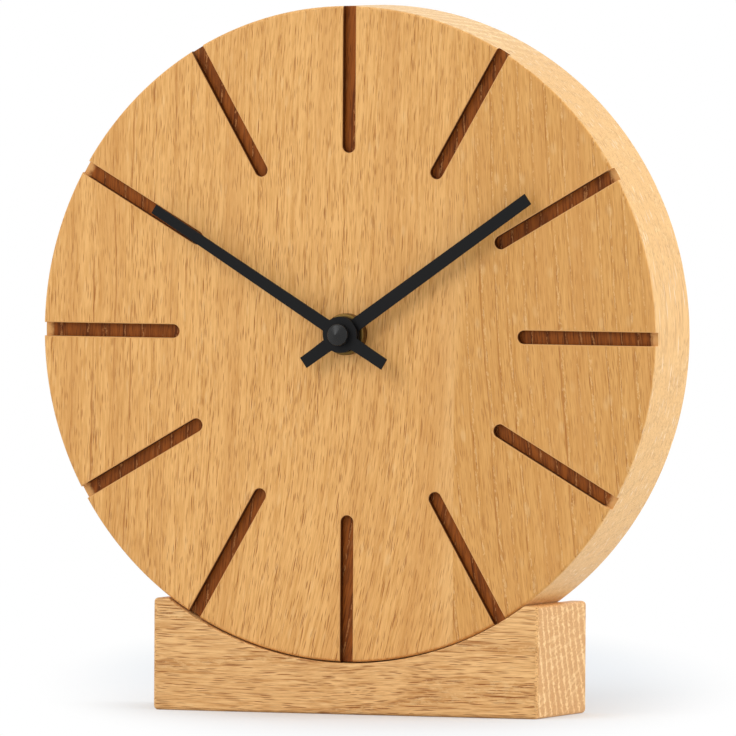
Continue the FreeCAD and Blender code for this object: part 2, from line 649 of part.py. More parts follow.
# one hour groove: straight sides, a round inner end, and an open end past the rim
sketch = sketch_on(dial_block, "groove_outline")
half_width = number("groove_end_radius")
inner = number("groove_end_centre")
outer = number("dial_diameter")
up_axis = FreeCAD.Vector(0, 0, 1)
inner_end = Part.Circle(FreeCAD.Vector(0, inner, 0), up_axis, half_width)
sketch.addGeometry(Part.ArcOfCircle(inner_end, math.pi, 2 * math.pi), False)
corners = [FreeCAD.Vector(half_width, inner, 0), FreeCAD.Vector(half_width, outer, 0),
           FreeCAD.Vector(-half_width, outer, 0), FreeCAD.Vector(-half_width, inner, 0)]
for start, end in zip(corners, corners[1:]):
    sketch.addGeometry(Part.LineSegment(start, end), False)
arc, right_side, outer_end, left_side = range(4)
sketch.addConstraint(Sketcher.Constraint("Tangent", arc, 2, right_side, 1))
sketch.addConstraint(Sketcher.Constraint("Tangent", left_side, 2, arc, 1))
sketch.addConstraint(Sketcher.Constraint("Coincident", right_side, 2, outer_end, 1))
sketch.addConstraint(Sketcher.Constraint("Coincident", outer_end, 2, left_side, 1))
sketch.addConstraint(Sketcher.Constraint("Vertical", right_side))
sketch.addConstraint(Sketcher.Constraint("Horizontal", outer_end))
hold_point(sketch, arc, 3, "0", "groove_end_centre")
constrain(sketch, "Radius", "groove_end_radius", arc)
constrain(sketch, "DistanceY", "dial_diameter", -1, 1, outer_end, 1)
groove = cut_back(dial_block, sketch, "groove", "groove_depth")

grooves = dial_block.newObject("PartDesign::PolarPattern", "dial_block_grooves")
grooves.Originals = [groove]
grooves.Axis = (origin_feature(dial_block, "Y_Axis"), [""])
grooves.Angle = FULL_TURN
bind(grooves, Occurrences="groove_count")
dial_block.Tip = grooves
doc.recompute()

# ---------------------------------------------------------------------------------------------------
# Loose tenon: a flat beech tongue, glued upright into mortises in the base and in the dial block
# ---------------------------------------------------------------------------------------------------

loose_tenon = doc.addObject("Part::Box", "loose_tenon")
loose_tenon.Label = "loose_tenon"
bind(loose_tenon, Length="tenon_width", Width="tenon_thickness", Height="tenon_length",
     Placement__Base__x="-tenon_x", Placement__Base__y="dial_middle_y - tenon_thickness / 2",
     Placement__Base__z="tenon_foot_z")
SUB_PARTS.append(loose_tenon)

# ---------------------------------------------------------------------------------------------------
# Movement case: a moulded tray, open to the back. A partition closes the battery bay off from the wheels,
# and posts on the floor carry the middle plate, the stator and the circuit board.
# ---------------------------------------------------------------------------------------------------

PILLARS = [(across, up) for across in ("pillar_left", "pillar_right")
           for up in ("pillar_bottom", "pillar_top")]
STATOR_STAKES = (("-stator_stake_x", "coil_z"), ("stator_stake_x", "coil_z"))
BOARD_STAKES = (("board_middle_x", "board_stake_bottom"), ("board_middle_x", "board_stake_top"))
case_corner = is_corner(number("case_half_width"), number("case_half_height"))

movement_case = movement_body("movement_case")
sketch = sketch_on(movement_case, "outline")
draw_box(sketch, "-case_half_width", "case_half_width", "-case_half_height", "case_half_height")
pad_back(movement_case, sketch, "block", "case_rim_y")
dress_edges(movement_case, "Fillet", "corners", "case_corner_radius", case_corner)

sketch = sketch_on(movement_case, "chambers", offset="-case_wall")
draw_box(sketch, "-inner_half_width", "inner_half_width", "chamber_bottom", "inner_half_height")
draw_box(sketch, "-inner_half_width", "inner_half_width", "bay_bottom", "bay_top")
cut_back(movement_case, sketch, "hollow", "case_rim_y - case_wall")

add_posts(movement_case, "plate_posts", PILLARS, "post_width", "case_wall", "middle_plate_y")
add_posts(movement_case, "stator_posts", STATOR_STAKES, "post_width", "case_wall", "stator_y")
add_posts(movement_case, "stator_stakes", STATOR_STAKES, "stake_width", "stator_y",
          "core_y + core_thickness + stake_height")
add_posts(movement_case, "board_posts", BOARD_STAKES, "post_width", "case_wall", "board_y")
add_posts(movement_case, "board_stakes", BOARD_STAKES, "stake_width", "board_y",
          "board_back_y + stake_height")

sketch = sketch_on(movement_case, "bush_round")
draw_circle(sketch, "bush_radius + press_fit")
cut_back(movement_case, sketch, "bush_hole", "case_wall")

sketch = sketch_on(movement_case, "pivot_spots", offset="motion_pivot_depth - case_wall")
draw_thin_hole(sketch, "pivot_hole_radius", "motion_x", "0")
draw_circle(sketch, "shaft_hole_radius", "setting_x")
cut_back(movement_case, sketch, "pivot_holes", "motion_pivot_depth")

# ---------------------------------------------------------------------------------------------------
# Back cover: a plate with a lip that locates it in the wheel chamber, an opening for the battery and a
# hole for the setting shaft
# ---------------------------------------------------------------------------------------------------

back_cover = movement_body("back_cover", depth="case_rim_y")
sketch = sketch_on(back_cover, "outline")
draw_box(sketch, "-case_half_width", "case_half_width", "-case_half_height", "case_half_height")
pad_back(back_cover, sketch, "plate", "cover_thickness")
dress_edges(back_cover, "Fillet", "corners", "case_corner_radius", case_corner)

sketch = sketch_on(back_cover, "lip_outline", offset="cover_lip_height")
lip_half_width = "inner_half_width - cover_lip_fit"
lip_bottom = "chamber_bottom + cover_lip_fit"
lip_top = "inner_half_height - cover_lip_fit"
draw_box(sketch, f"-({lip_half_width})", lip_half_width, lip_bottom, lip_top)
draw_box(sketch, f"-({lip_half_width} - case_wall)", f"{lip_half_width} - case_wall",
         f"{lip_bottom} + case_wall", f"{lip_top} - case_wall")
pad_back(back_cover, sketch, "lip", "cover_lip_height")

sketch = sketch_on(back_cover, "openings")
draw_box(sketch, "-inner_half_width + bay_opening_margin", "inner_half_width - bay_opening_margin",
         "bay_bottom", "bay_top")
draw_circle(sketch, "shaft_hole_radius", "setting_x")
cut_back(back_cover, sketch, "cut_outs", "cover_thickness")

# ---------------------------------------------------------------------------------------------------
# Hub: the brass bush is pressed into the case, the rubber washer lies between case and oak, and the round
# brass nut clamps the movement to the web. The thread is drawn at its outside diameter.
# ---------------------------------------------------------------------------------------------------

turned_piece("threaded_bush", (
    ("bush_front_y", "bush_bore_radius"), ("bush_front_y", "bush_radius"),
    ("case_wall", "bush_radius"), ("case_wall", "bush_bore_radius")))

rubber_washer = movement_body("rubber_washer", depth="-washer_thickness")
sketch = sketch_on(rubber_washer, "outline")
draw_square(sketch, "washer_width", "0", "0")
draw_circle(sketch, "bush_radius + bush_clearance")
pad_back(rubber_washer, sketch, "sheet", "washer_thickness")

turned_piece("hub_nut", (
    ("nut_front_y", "bush_radius + press_fit"), ("nut_front_y", "nut_diameter / 2 - nut_chamfer"),
    ("nut_front_y + nut_chamfer", "nut_diameter / 2"), ("face_y", "nut_diameter / 2"),
    ("face_y", "bush_radius + press_fit")))

# ---------------------------------------------------------------------------------------------------
# Hands: flat strips of aluminium with a round hub and square ends
# ---------------------------------------------------------------------------------------------------


def hand(label, length, tail, width, tip_width, bore, front, angle):
    """A hand that points to twelve in its own frame, turned to its place on the dial."""
    body = movement_body(label, depth=front)
    body.Placement.Rotation = FreeCAD.Rotation(BACKWARD, number(angle))
    bind(body, Placement__Rotation__Angle=f"{angle} * 1 deg")
    sketch = sketch_on(body, "strip")
    draw_outline(sketch, ((f"-{width} / 2", f"-{tail}"), (f"{width} / 2", f"-{tail}"),
                          (f"{tip_width} / 2", length), (f"-{tip_width} / 2", length)))
    pad_back(body, sketch, "blade", "hand_thickness")
    sketch = sketch_on(body, "hub_round")
    draw_circle(sketch, "hand_hub_diameter / 2")
    pad_back(body, sketch, "hub", "hand_thickness")
    sketch = sketch_on(body, "bore_round")
    draw_circle(sketch, bore)
    cut_back(body, sketch, "bore", "hand_thickness")
    return body


hand("minute_hand", "minute_length", "minute_tail", "minute_width", "minute_tip_width",
     "arbor_radius + press_fit", "minute_hand_front_y", "minute_hand_angle")
hand("hour_hand", "hour_length", "hour_tail", "hour_width", "hour_width",
     "tube_radius + press_fit", "hour_hand_front_y", "hour_hand_angle")

# the cap is pressed over the end of the minute arbor
turned_piece("hand_cap", (
    ("0", "arbor_radius + press_fit"), ("0", "cap_diameter / 2"),
    ("-cap_skirt", "cap_diameter / 2"),
    ("-cap_skirt - cap_point", "0"), ("-arbor_proud - press_fit", "0"),
    ("-arbor_proud - press_fit", "arbor_radius + press_fit")), depth="minute_hand_front_y")

# ---------------------------------------------------------------------------------------------------
# Plates of the movement: the middle plate stands on the case posts, and its pillars carry the bridge
# ---------------------------------------------------------------------------------------------------

# the right edge of both plates is notched round the setting shaft
PLATE_OUTLINE = (("-plate_left", "plate_bottom"), ("plate_right", "plate_bottom"),
                 ("plate_right", "-notch_half_height"), ("notch_left", "-notch_half_height"),
                 ("notch_left", "notch_half_height"), ("plate_right", "notch_half_height"),
                 ("plate_right", "plate_top"), ("-plate_left", "plate_top"))
TRAIN_PIVOTS = [("third_x", "third_z"), ("0", "fifth_z"), ("0", "rotor_z")]

middle_plate = flat_plate(
    "middle_plate", PLATE_OUTLINE, "middle_plate_y", "plate_thickness",
    holes=[("0", "0", "arbor_rear_radius + running_gap")], pivots=TRAIN_PIVOTS + [("motion_x", "0")])
add_posts(middle_plate, "pillars", PILLARS, "pillar_width", "plate_thickness", "bridge_y - middle_plate_y")
add_posts(middle_plate, "stakes", PILLARS, "stake_width", "bridge_y - middle_plate_y",
          "bridge_back_y + stake_height - middle_plate_y")

flat_plate("train_bridge", PLATE_OUTLINE, "bridge_y", "bridge_thickness",
           pivots=TRAIN_PIVOTS + [("0", "0")], stakes=PILLARS)

# ---------------------------------------------------------------------------------------------------
# Stepping motor: a stator plate round the rotor magnet, joined by the iron core of the coil
# ---------------------------------------------------------------------------------------------------

right_half = (("stator_outer_radius / 2", "rotor_z - stator_outer_radius"),
              ("stator_outer_radius", "rotor_z - stator_outer_radius / 2"),
              ("stator_outer_radius", "rotor_z + stator_outer_radius / 4"),
              ("stator_half_width", "stator_shoulder_z"),
              ("stator_half_width", "coil_z + core_end_z"),
              ("stator_half_width - stator_leg_width", "coil_z + core_end_z"),
              ("stator_half_width - stator_leg_width", "stator_shoulder_z"))
left_half = tuple((f"-({across})", up) for across, up in reversed(right_half))
flat_plate("stator_plate", right_half + left_half, "stator_y", "stator_thickness",
           holes=[("0", "rotor_z", "stator_hole_radius")], stakes=STATOR_STAKES)

flat_plate("coil_core",
           (("-stator_half_width", "coil_z - core_width / 2"),
            ("stator_half_width", "coil_z - core_width / 2"),
            ("stator_half_width", "coil_z + core_width / 2"),
            ("-stator_half_width", "coil_z + core_width / 2")),
           "core_y", "core_thickness", stakes=STATOR_STAKES)


def block_along_coil(body, name, right_end, depth, height, length):
    """A square-cornered block about the coil's axis that grows leftwards from its right end."""
    sketch = sketch_on(body, name, "YZ_Plane", right_end)
    draw_box(sketch, f"-{depth} / 2", f"{depth} / 2", f"-{height} / 2", f"{height} / 2")
    return add_feature(body, "Pad", sketch, f"{name}_pad", Length=length)


coil_bobbin = movement_body("coil_bobbin", depth="coil_y", up="coil_z")
block_along_coil(coil_bobbin, "tube", "coil_length / 2", "coil_tube_depth", "coil_tube_height", "coil_length")
for name, right_end in (("right_flange", "coil_length / 2"),
                        ("left_flange", "coil_flange_thickness - coil_length / 2")):
    block_along_coil(coil_bobbin, name, right_end, "coil_flange_width", "coil_flange_width",
                     "coil_flange_thickness")
sketch = sketch_on(coil_bobbin, "core_slot", "YZ_Plane", "coil_length / 2")
draw_box(sketch, "-core_thickness / 2 - core_fit", "core_thickness / 2 + core_fit",
         "-core_width / 2 - core_fit", "core_width / 2 + core_fit")
cut_back(coil_bobbin, sketch, "core_slot_cut", "coil_length")

coil_winding = movement_body("coil_winding", depth="coil_y", up="coil_z")
sketch = sketch_on(coil_winding, "round", "YZ_Plane", "coil_length / 2 - coil_flange_thickness")
draw_circle(sketch, "winding_width / 2")
draw_box(sketch, "-coil_tube_depth / 2", "coil_tube_depth / 2", "-coil_tube_height / 2",
         "coil_tube_height / 2")
add_feature(coil_winding, "Pad", sketch, "turns", Length="coil_length - 2 * coil_flange_thickness")

# ---------------------------------------------------------------------------------------------------
# Circuit board with the control chip and the quartz crystal on its back
# ---------------------------------------------------------------------------------------------------

flat_plate("circuit_board",
           (("board_left", "board_bottom"), ("board_right", "board_bottom"),
            ("board_right", "board_top"), ("board_left", "board_top")),
           "board_y", "board_thickness", stakes=BOARD_STAKES)

control_chip = movement_body("control_chip", depth="board_back_y")
sketch = sketch_on(control_chip, "outline")
draw_square(sketch, "chip_size", "board_middle_x", "board_top - chip_drop")
pad_back(control_chip, sketch, "block", "chip_thickness")

quartz_crystal = doc.addObject("Part::Cylinder", "quartz_crystal")
quartz_crystal.Label = "quartz_crystal"
bind(quartz_crystal, Radius="crystal_diameter / 2", Height="crystal_length",
     Placement__Base__x="board_middle_x - board_width / 4",
     Placement__Base__y="movement_y + board_back_y + crystal_diameter / 2",
     Placement__Base__z="dial_centre_z + board_top - crystal_drop")
SUB_PARTS.append(quartz_crystal)

# ---------------------------------------------------------------------------------------------------
# Battery and its contacts: each contact is a strip folded back on itself, between bay wall and cell
# ---------------------------------------------------------------------------------------------------

can_end = "(cell_half_length - cell_button_height)"
battery_cell = turned_piece("battery_cell", (
    ("-cell_half_length", "0"), ("-cell_half_length", "cell_radius"), (can_end, "cell_radius"),
    (can_end, "cell_button_diameter / 2"), ("cell_half_length", "cell_button_diameter / 2"),
    ("cell_half_length", "0")))
battery_cell.Placement.Rotation = FreeCAD.Rotation(FreeCAD.Vector(0, 0, 1), -FULL_TURN / 4)
bind(battery_cell, Placement__Base__y="movement_y + cell_y", Placement__Base__z="dial_centre_z + cell_z")

for side, label in (("", "positive_contact"), ("-", "negative_contact")):
    contact = movement_body(label, up="cell_z - contact_width / 2")
    sketch = sketch_on(contact, "strip", "XY_Plane")
    free_end = "cell_y - cell_radius / 2"
    fold = "cell_y + cell_radius / 2"
    wall_x = f"{side}inner_half_width"
    wall_inside_x = f"{side}(inner_half_width - contact_thickness)"
    cell_x = f"{side}contact_inner_x"
    cell_inside_x = f"{side}(contact_inner_x + contact_thickness)"
    draw_outline(sketch, (
        (wall_x, free_end), (wall_x, f"{fold} + contact_thickness"), (cell_x, f"{fold} + contact_thickness"),
        (cell_x, free_end), (cell_inside_x, free_end), (cell_inside_x, fold),
        (wall_inside_x, fold), (wall_inside_x, free_end)))
    strip = contact.newObject("PartDesign::Pad", f"{label}_pad")
    strip.Profile = sketch
    bind(strip, Length="contact_width")
    doc.recompute()

# ---------------------------------------------------------------------------------------------------
# Motion work. The minute arbor carries the cannon pinion, the motion wheel gears it down twice, and the
# hour wheel's tube turns on the arbor and inside the bush.
# ---------------------------------------------------------------------------------------------------

cannon_teeth = int(number("cannon_teeth"))
motion_teeth = int(number("motion_teeth"))
setting_teeth = int(number("setting_teeth"))
motion_leaves = int(number("motion_pinion_leaves"))
hour_teeth = int(number("hour_teeth"))
motion_module = number("motion_module")
hour_module = number("hour_module")
overhang = number("pinion_overhang")
thickness = number("wheel_thickness")
motion_front = number("motion_wheel_y")
cannon_front = motion_front - overhang
cannon_back = motion_front + thickness + overhang
minute_back = number("minute_arbor_back_y")
seconds_pinion_front = number("third_wheel_y") - overhang
seconds_front = seconds_pinion_front - number("seconds_front_reach")
along_x = 0.0

minute_arbor = round_bar(number("arbor_radius"), number("arbor_front_y"), cannon_front).fuse([
    round_bar(number("arbor_rear_radius"), cannon_front, minute_back),
    pinion_ring(cannon_teeth, motion_module, along_x, cannon_front, cannon_back)])
minute_arbor = minute_arbor.cut(many_sided_bar(number("arbor_bore_radius"),
                                               seconds_front - overhang, minute_back))
movement_piece("minute_arbor", minute_arbor)

motion_phase = meshed_phase(motion_teeth, cannon_teeth, 0.0, along_x)
motion_pinion_phase = meshed_phase(motion_leaves, hour_teeth, 0.0, along_x)
pivot_front = number("case_wall") - number("motion_pivot_depth") + number("pivot_shoulder_gap")
shoulder_front = number("case_wall") + number("pivot_shoulder_gap")
shoulder_back = number("middle_plate_y") - number("pivot_shoulder_gap")
motion_wheel = stepped_arbor((
    (number("pivot_radius"), pivot_front, shoulder_front),
    (number("train_arbor_radius"), shoulder_front, shoulder_back),
    (number("pivot_radius"), shoulder_back, number("middle_plate_back_y"))))
motion_wheel = motion_wheel.fuse([
    wheel_ring(motion_teeth, motion_module, motion_phase, motion_front, motion_front + thickness),
    pinion_ring(motion_leaves, hour_module, motion_pinion_phase,
                 number("hour_wheel_y") - overhang, motion_front)])
movement_piece("motion_wheel", motion_wheel, number("motion_x"))

hour_front = number("hour_wheel_y")
hour_back = hour_front + number("hour_wheel_thickness")
hour_wheel = wheel_ring(hour_teeth, hour_module, 0.0, hour_front, hour_back)
hour_wheel = hour_wheel.fuse(round_bar(number("tube_radius"), number("tube_front_y"), hour_back))
hour_wheel = hour_wheel.cut(round_bar(number("tube_bore_radius"), number("tube_front_y"), hour_back))
movement_piece("hour_wheel", hour_wheel)

# ---------------------------------------------------------------------------------------------------
# Setting knob: one moulding, with a pinion that meshes with the motion wheel and a ribbed grip behind
# the back cover
# ---------------------------------------------------------------------------------------------------

setting_phase = meshed_phase(setting_teeth, motion_teeth, motion_phase, along_x)
knob_front = number("knob_y")
knob_back = knob_front + number("knob_thickness")
knob_radius = number("knob_diameter") / 2
rib_count = int(number("knob_ribs"))
rib_foot_radius = knob_radius - number("knob_rib_depth")
rib_half_width = number("knob_rib_width") / 2
rib_flanks = ((rib_foot_radius, -math.pi * rib_foot_radius / rib_count),
              (knob_radius, -rib_half_width), (knob_radius, rib_half_width))
setting_knob = round_bar(number("setting_shaft_radius"), pivot_front, knob_front).fuse([
    pinion_ring(setting_teeth, motion_module, setting_phase, cannon_front, cannon_back),
    toothed_plate(rib_count, rib_flanks, 0.0, knob_front, knob_back)])
movement_piece("setting_knob", setting_knob, number("setting_x"))

# ---------------------------------------------------------------------------------------------------
# Going train, from the centre wheel on the minute arbor to the rotor: 48 to 6, 45 to 6, 30 to 6, 36 to 6
# ---------------------------------------------------------------------------------------------------

centre_teeth = int(number("centre_teeth"))
third_leaves = int(number("third_pinion_leaves"))
third_teeth = int(number("third_teeth"))
seconds_leaves = int(number("seconds_pinion_leaves"))
seconds_teeth = int(number("seconds_teeth"))
fifth_leaves = int(number("fifth_pinion_leaves"))
fifth_teeth = int(number("fifth_teeth"))
rotor_leaves = int(number("rotor_pinion_leaves"))
third_angle = math.radians(number("third_direction"))
upward = math.pi / 2
centre_front = number("centre_wheel_y")
third_front = number("third_wheel_y")
seconds_wheel_front = number("seconds_wheel_y")
fifth_front = number("fifth_wheel_y")
arbor_radius = number("train_arbor_radius")
pivot_radius = number("pivot_radius")
shoulder_gap = number("pivot_shoulder_gap")
plate_front = number("middle_plate_y")
plate_back = number("middle_plate_back_y")
bridge_front = number("bridge_y")
bridge_back = number("bridge_back_y")

centre_wheel = wheel_ring(centre_teeth, number("centre_module"), third_angle,
                            centre_front, centre_front + thickness)
centre_wheel = centre_wheel.cut(round_bar(number("arbor_rear_radius") + number("running_gap"),
                                          centre_front, centre_front + thickness))
movement_piece("centre_wheel", centre_wheel)


def train_arbor():
    """An arbor with a pivot in the middle plate and a pivot in the bridge."""
    return stepped_arbor((
        (pivot_radius, plate_front, plate_back + shoulder_gap),
        (arbor_radius, plate_back + shoulder_gap, bridge_front - shoulder_gap),
        (pivot_radius, bridge_front - shoulder_gap, bridge_back)))


def leaves(count, module, phase, wheel_front, back):
    """A pinion that starts in front of the wheel it meshes with and runs back to its own wheel."""
    return pinion_ring(count, module, phase, wheel_front - overhang, back)


third_pinion_phase = meshed_phase(third_leaves, centre_teeth, third_angle, third_angle)
third_wheel = train_arbor().fuse([
    leaves(third_leaves, number("centre_module"), third_pinion_phase, centre_front, third_front),
    wheel_ring(third_teeth, number("third_module"), third_angle + math.pi,
                 third_front, third_front + thickness)])
movement_piece("third_wheel", third_wheel, number("third_x"), number("third_z"))

seconds_pinion_phase = meshed_phase(seconds_leaves, third_teeth, third_angle + math.pi, third_angle + math.pi)
seconds_wheel = stepped_arbor((
    (arbor_radius, seconds_front, bridge_front - shoulder_gap),
    (pivot_radius, bridge_front - shoulder_gap, bridge_back)))
seconds_wheel = seconds_wheel.fuse([
    leaves(seconds_leaves, number("third_module"), seconds_pinion_phase, third_front, seconds_wheel_front),
    wheel_ring(seconds_teeth, number("seconds_module"), upward,
                 seconds_wheel_front, seconds_wheel_front + thickness)])
movement_piece("seconds_wheel", seconds_wheel)

fifth_pinion_phase = meshed_phase(fifth_leaves, seconds_teeth, upward, upward)
fifth_wheel = train_arbor().fuse([
    leaves(fifth_leaves, number("seconds_module"), fifth_pinion_phase, seconds_wheel_front, fifth_front),
    wheel_ring(fifth_teeth, number("rotor_module"), upward, fifth_front, fifth_front + thickness)])
movement_piece("fifth_wheel", fifth_wheel, 0.0, number("fifth_z"))

rotor_phase = meshed_phase(rotor_leaves, fifth_teeth, upward, upward)
rotor_pinion = train_arbor().fuse(leaves(rotor_leaves, number("rotor_module"), rotor_phase, fifth_front,
                                         fifth_front + thickness + overhang))
movement_piece("rotor_pinion", rotor_pinion, 0.0, number("rotor_z"))

rotor_magnet = Part.makeCylinder(number("magnet_radius"), number("magnet_thickness"),
                                 FreeCAD.Vector(0, number("stator_y"), 0), BACKWARD)
rotor_magnet = rotor_magnet.cut(many_sided_bar(arbor_radius + number("press_fit"), plate_front, bridge_front))
movement_piece("rotor_magnet", rotor_magnet, 0.0, number("rotor_z"))

# ---------------------------------------------------------------------------------------------------
# Checks and files: one STEP file for each sub-part
# ---------------------------------------------------------------------------------------------------

doc.recompute()
for item in doc.Objects:
    if "Invalid" in item.State or "Error" in item.State:
        raise RuntimeError(f"{item.Label} did not compute: {item.State}")
for piece in SUB_PARTS:
    if piece.Shape.isNull() or not piece.Shape.isValid() or not piece.Shape.Solids:
        raise RuntimeError(f"{piece.Label} is not a valid solid")

os.makedirs("parts", exist_ok=True)
for piece in SUB_PARTS:
    piece.Shape.exportStep(f"parts/{piece.Label}.step")
    box = piece.Shape.BoundBox
    print(f"{piece.Label}: {len(piece.Shape.Solids)} solid(s), {piece.Shape.Volume:.1f} mm3, "
          f"x {box.XMin:.2f}..{box.XMax:.2f}, y {box.YMin:.2f}..{box.YMax:.2f}, "
          f"z {box.ZMin:.2f}..{box.ZMax:.2f}")
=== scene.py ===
import json
import math
import bmesh
import bpy
from mathutils import Matrix, Vector


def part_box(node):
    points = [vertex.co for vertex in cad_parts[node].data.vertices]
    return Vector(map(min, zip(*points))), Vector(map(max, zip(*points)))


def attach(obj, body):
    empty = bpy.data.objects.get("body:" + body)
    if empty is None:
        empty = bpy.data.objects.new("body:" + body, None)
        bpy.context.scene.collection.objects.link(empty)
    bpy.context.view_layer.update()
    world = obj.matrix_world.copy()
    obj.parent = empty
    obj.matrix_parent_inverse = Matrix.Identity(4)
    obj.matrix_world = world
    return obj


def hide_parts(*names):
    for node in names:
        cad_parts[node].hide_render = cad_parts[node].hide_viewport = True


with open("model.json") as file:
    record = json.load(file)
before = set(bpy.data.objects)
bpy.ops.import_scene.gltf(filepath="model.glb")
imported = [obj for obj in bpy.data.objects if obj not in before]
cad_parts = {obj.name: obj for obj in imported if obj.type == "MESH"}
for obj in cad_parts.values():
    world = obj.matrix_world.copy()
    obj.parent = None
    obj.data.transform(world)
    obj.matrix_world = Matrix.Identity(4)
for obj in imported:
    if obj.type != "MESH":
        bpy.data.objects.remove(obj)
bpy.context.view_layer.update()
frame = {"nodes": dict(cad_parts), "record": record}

# ---------------------------------------------------------------------------------------------------
# Base block: a solid oak block with the grain from left to right, planed square. Its edges are rounded
# over, and a cradle is cut in its top to the round of the dial block.
# ---------------------------------------------------------------------------------------------------

MM = 0.001


def node(tree, kind, inputs=None, **settings):
    """Add a shader node with its settings, plain values and links."""
    made = tree.nodes.new("ShaderNode" + kind)
    for name, value in settings.items():
        setattr(made, name, value)
    for name, value in (inputs or {}).items():
        if isinstance(value, bpy.types.NodeSocket):
            tree.links.new(value, made.inputs[name])
        else:
            made.inputs[name].default_value = value
    return made


def sums(tree, operation, first, second=0.0, third=0.0, clamp=False):
    """One step of arithmetic on values."""
    step = node(tree, "Math", {0: first, 1: second, 2: third}, operation=operation, use_clamp=clamp)
    return step.outputs[0]


def scaled(tree, value, factor, offset, clamp=False):
    """A value times a factor, plus an offset."""
    return sums(tree, "MULTIPLY_ADD", value, factor, offset, clamp)


def product(tree, first, *others):
    """Values multiplied with one another."""
    for other in others:
        first = sums(tree, "MULTIPLY", first, other)
    return first


def moves(tree, operation, first, second=(0, 0, 0)):
    """One step of arithmetic on vectors."""
    return node(tree, "VectorMath", {0: first, 1: second}, operation=operation).outputs[0]


def measures(tree, operation, first, second=(0, 0, 0)):
    """One value worked out from vectors, such as a length."""
    return node(tree, "VectorMath", {0: first, 1: second}, operation=operation).outputs["Value"]


def parts(tree, vector):
    """The three parts of a vector."""
    return node(tree, "SeparateXYZ", {0: vector}).outputs


def from_parts(tree, first, second=0.0, third=0.0):
    """A vector from its three parts."""
    return node(tree, "CombineXYZ", {0: first, 1: second, 2: third}).outputs[0]


def fades(tree, value, start, end, low=0.0, high=1.0):
    """A value that goes softly from low to high as the other goes from start to end."""
    return node(tree, "MapRange", {0: value, 1: start, 2: end, 3: low, 4: high},
                interpolation_type="SMOOTHSTEP").outputs[0]


def mixes(tree, share, first, second):
    """Two colours mixed by a share."""
    return node(tree, "Mix", {0: share, 6: first, 7: second}, data_type="RGBA").outputs[2]


def cloudy(tree, place, scale, detail=2.0, rough=0.5):
    """Soft noise with so many waves per unit of place along each axis: its value and its colour."""
    inputs = {"Vector": moves(tree, "MULTIPLY", place, scale), "Scale": 1.0, "Detail": detail,
              "Roughness": rough}
    return node(tree, "TexNoise", inputs).outputs


def along_grain(tree, place, across, along, detail=2.0, rough=0.5):
    """Soft noise with so many waves per millimetre across the grain and along it."""
    return cloudy(tree, place, (across, across, along), detail, rough)


def cells(tree, place, scale):
    """Scattered cells, so many per unit of place: the distance to the nearest, and its random colour."""
    return node(tree, "TexVoronoi", {"Vector": moves(tree, "MULTIPLY", place, scale), "Scale": 1.0}).outputs


def channels(tree, texture):
    """The three values in the colour of noise or of cells."""
    return node(tree, "SeparateColor", {0: texture[1]}).outputs


def new_group(name, inputs, outputs):
    """A shader node group with named inputs (name, kind, value) and outputs (name, kind)."""
    group = bpy.data.node_groups.new(name, "ShaderNodeTree")
    for label, kind, value in inputs:
        socket = group.interface.new_socket(label, in_out="INPUT", socket_type="NodeSocket" + kind)
        socket.default_value = value
    for label, kind in outputs:
        group.interface.new_socket(label, in_out="OUTPUT", socket_type="NodeSocket" + kind)
    given = group.nodes.new("NodeGroupInput").outputs
    result = group.nodes.new("NodeGroupOutput").inputs
    return group, given, result


def from_srgb(red, green, blue):
    """A colour picked on screen from 0 to 255, as the linear colour of a shader socket."""
    linear = [((part / 255 + 0.055) / 1.055) ** 2.4 for part in (red, green, blue)]
    return (*linear, 1.0)


# Sawn oak in the round. Timber is the place in millimetres with its third axis along the grain, and
# Facing is the surface's normal in the same axes. Rings stand about the heart, pores run along the
# grain and rays run across the rings. A sawn end shows its rings and pores pale.
oak, given, result = new_group(
    "sawn oak",
    (("Timber", "Vector", (0, 0, 0)), ("Facing", "Vector", (0, -1, 0)), ("Heart", "Vector", (0, -120, 0)),
     ("Ring Width", "Float", 3.0), ("Ring Strength", "Float", 0.4), ("Waviness", "Float", 7.0),
     ("Ring Lines", "Float", 0.5), ("Streaks", "Float", 1.0), ("Pore Strength", "Float", 0.9),
     ("Pore Width", "Float", 0.45), ("Pore Length", "Float", 6.0), ("Pale Pores", "Float", 0.3),
     ("Ray Strength", "Float", 0.3), ("Pale", "Color", from_srgb(232, 182, 116)),
     ("Dark", "Color", from_srgb(205, 147, 82)), ("Pore", "Color", from_srgb(160, 98, 40)),
     ("Ray", "Color", from_srgb(246, 208, 150))),
    (("Color", "Color"), ("Roughness", "Float"), ("Height", "Float")))
timber = given["Timber"]


def about_ring_start(phase, after, before):
    """One where a ring starts, fading out up to a share of the ring after it and in from one before."""
    return sums(oak, "MAXIMUM", fades(oak, phase, 0.0, after, 1.0, 0.0), fades(oak, phase, before, 1.0))


# growth: the fibres drift and tremble, and rings of uneven width stand about the heart
noise_middle = (0.5, 0.5, 0.5)
tremor_size = (0.8, 0.8, 0.0)
drift = moves(oak, "SUBTRACT", along_grain(oak, timber, across=0.014, along=0.006)[1], noise_middle)
drift = moves(oak, "MULTIPLY", drift, from_parts(oak, given["Waviness"], given["Waviness"]))
tremor = moves(oak, "SUBTRACT", along_grain(oak, timber, across=0.3, along=0.06)[1], noise_middle)
tremor = moves(oak, "MULTIPLY", tremor, tremor_size)
fibre_place = moves(oak, "ADD", moves(oak, "ADD", timber, drift), tremor)
from_heart = moves(oak, "MULTIPLY", moves(oak, "SUBTRACT", fibre_place, given["Heart"]), (1, 1, 0))
off_heart = measures(oak, "LENGTH", from_heart)
ring_place = sums(oak, "DIVIDE", off_heart, given["Ring Width"])
ring_sway = along_grain(oak, timber, across=0.05, along=0.004)[0]
uneven = along_grain(oak, timber, across=0.16, along=0.01)[0]
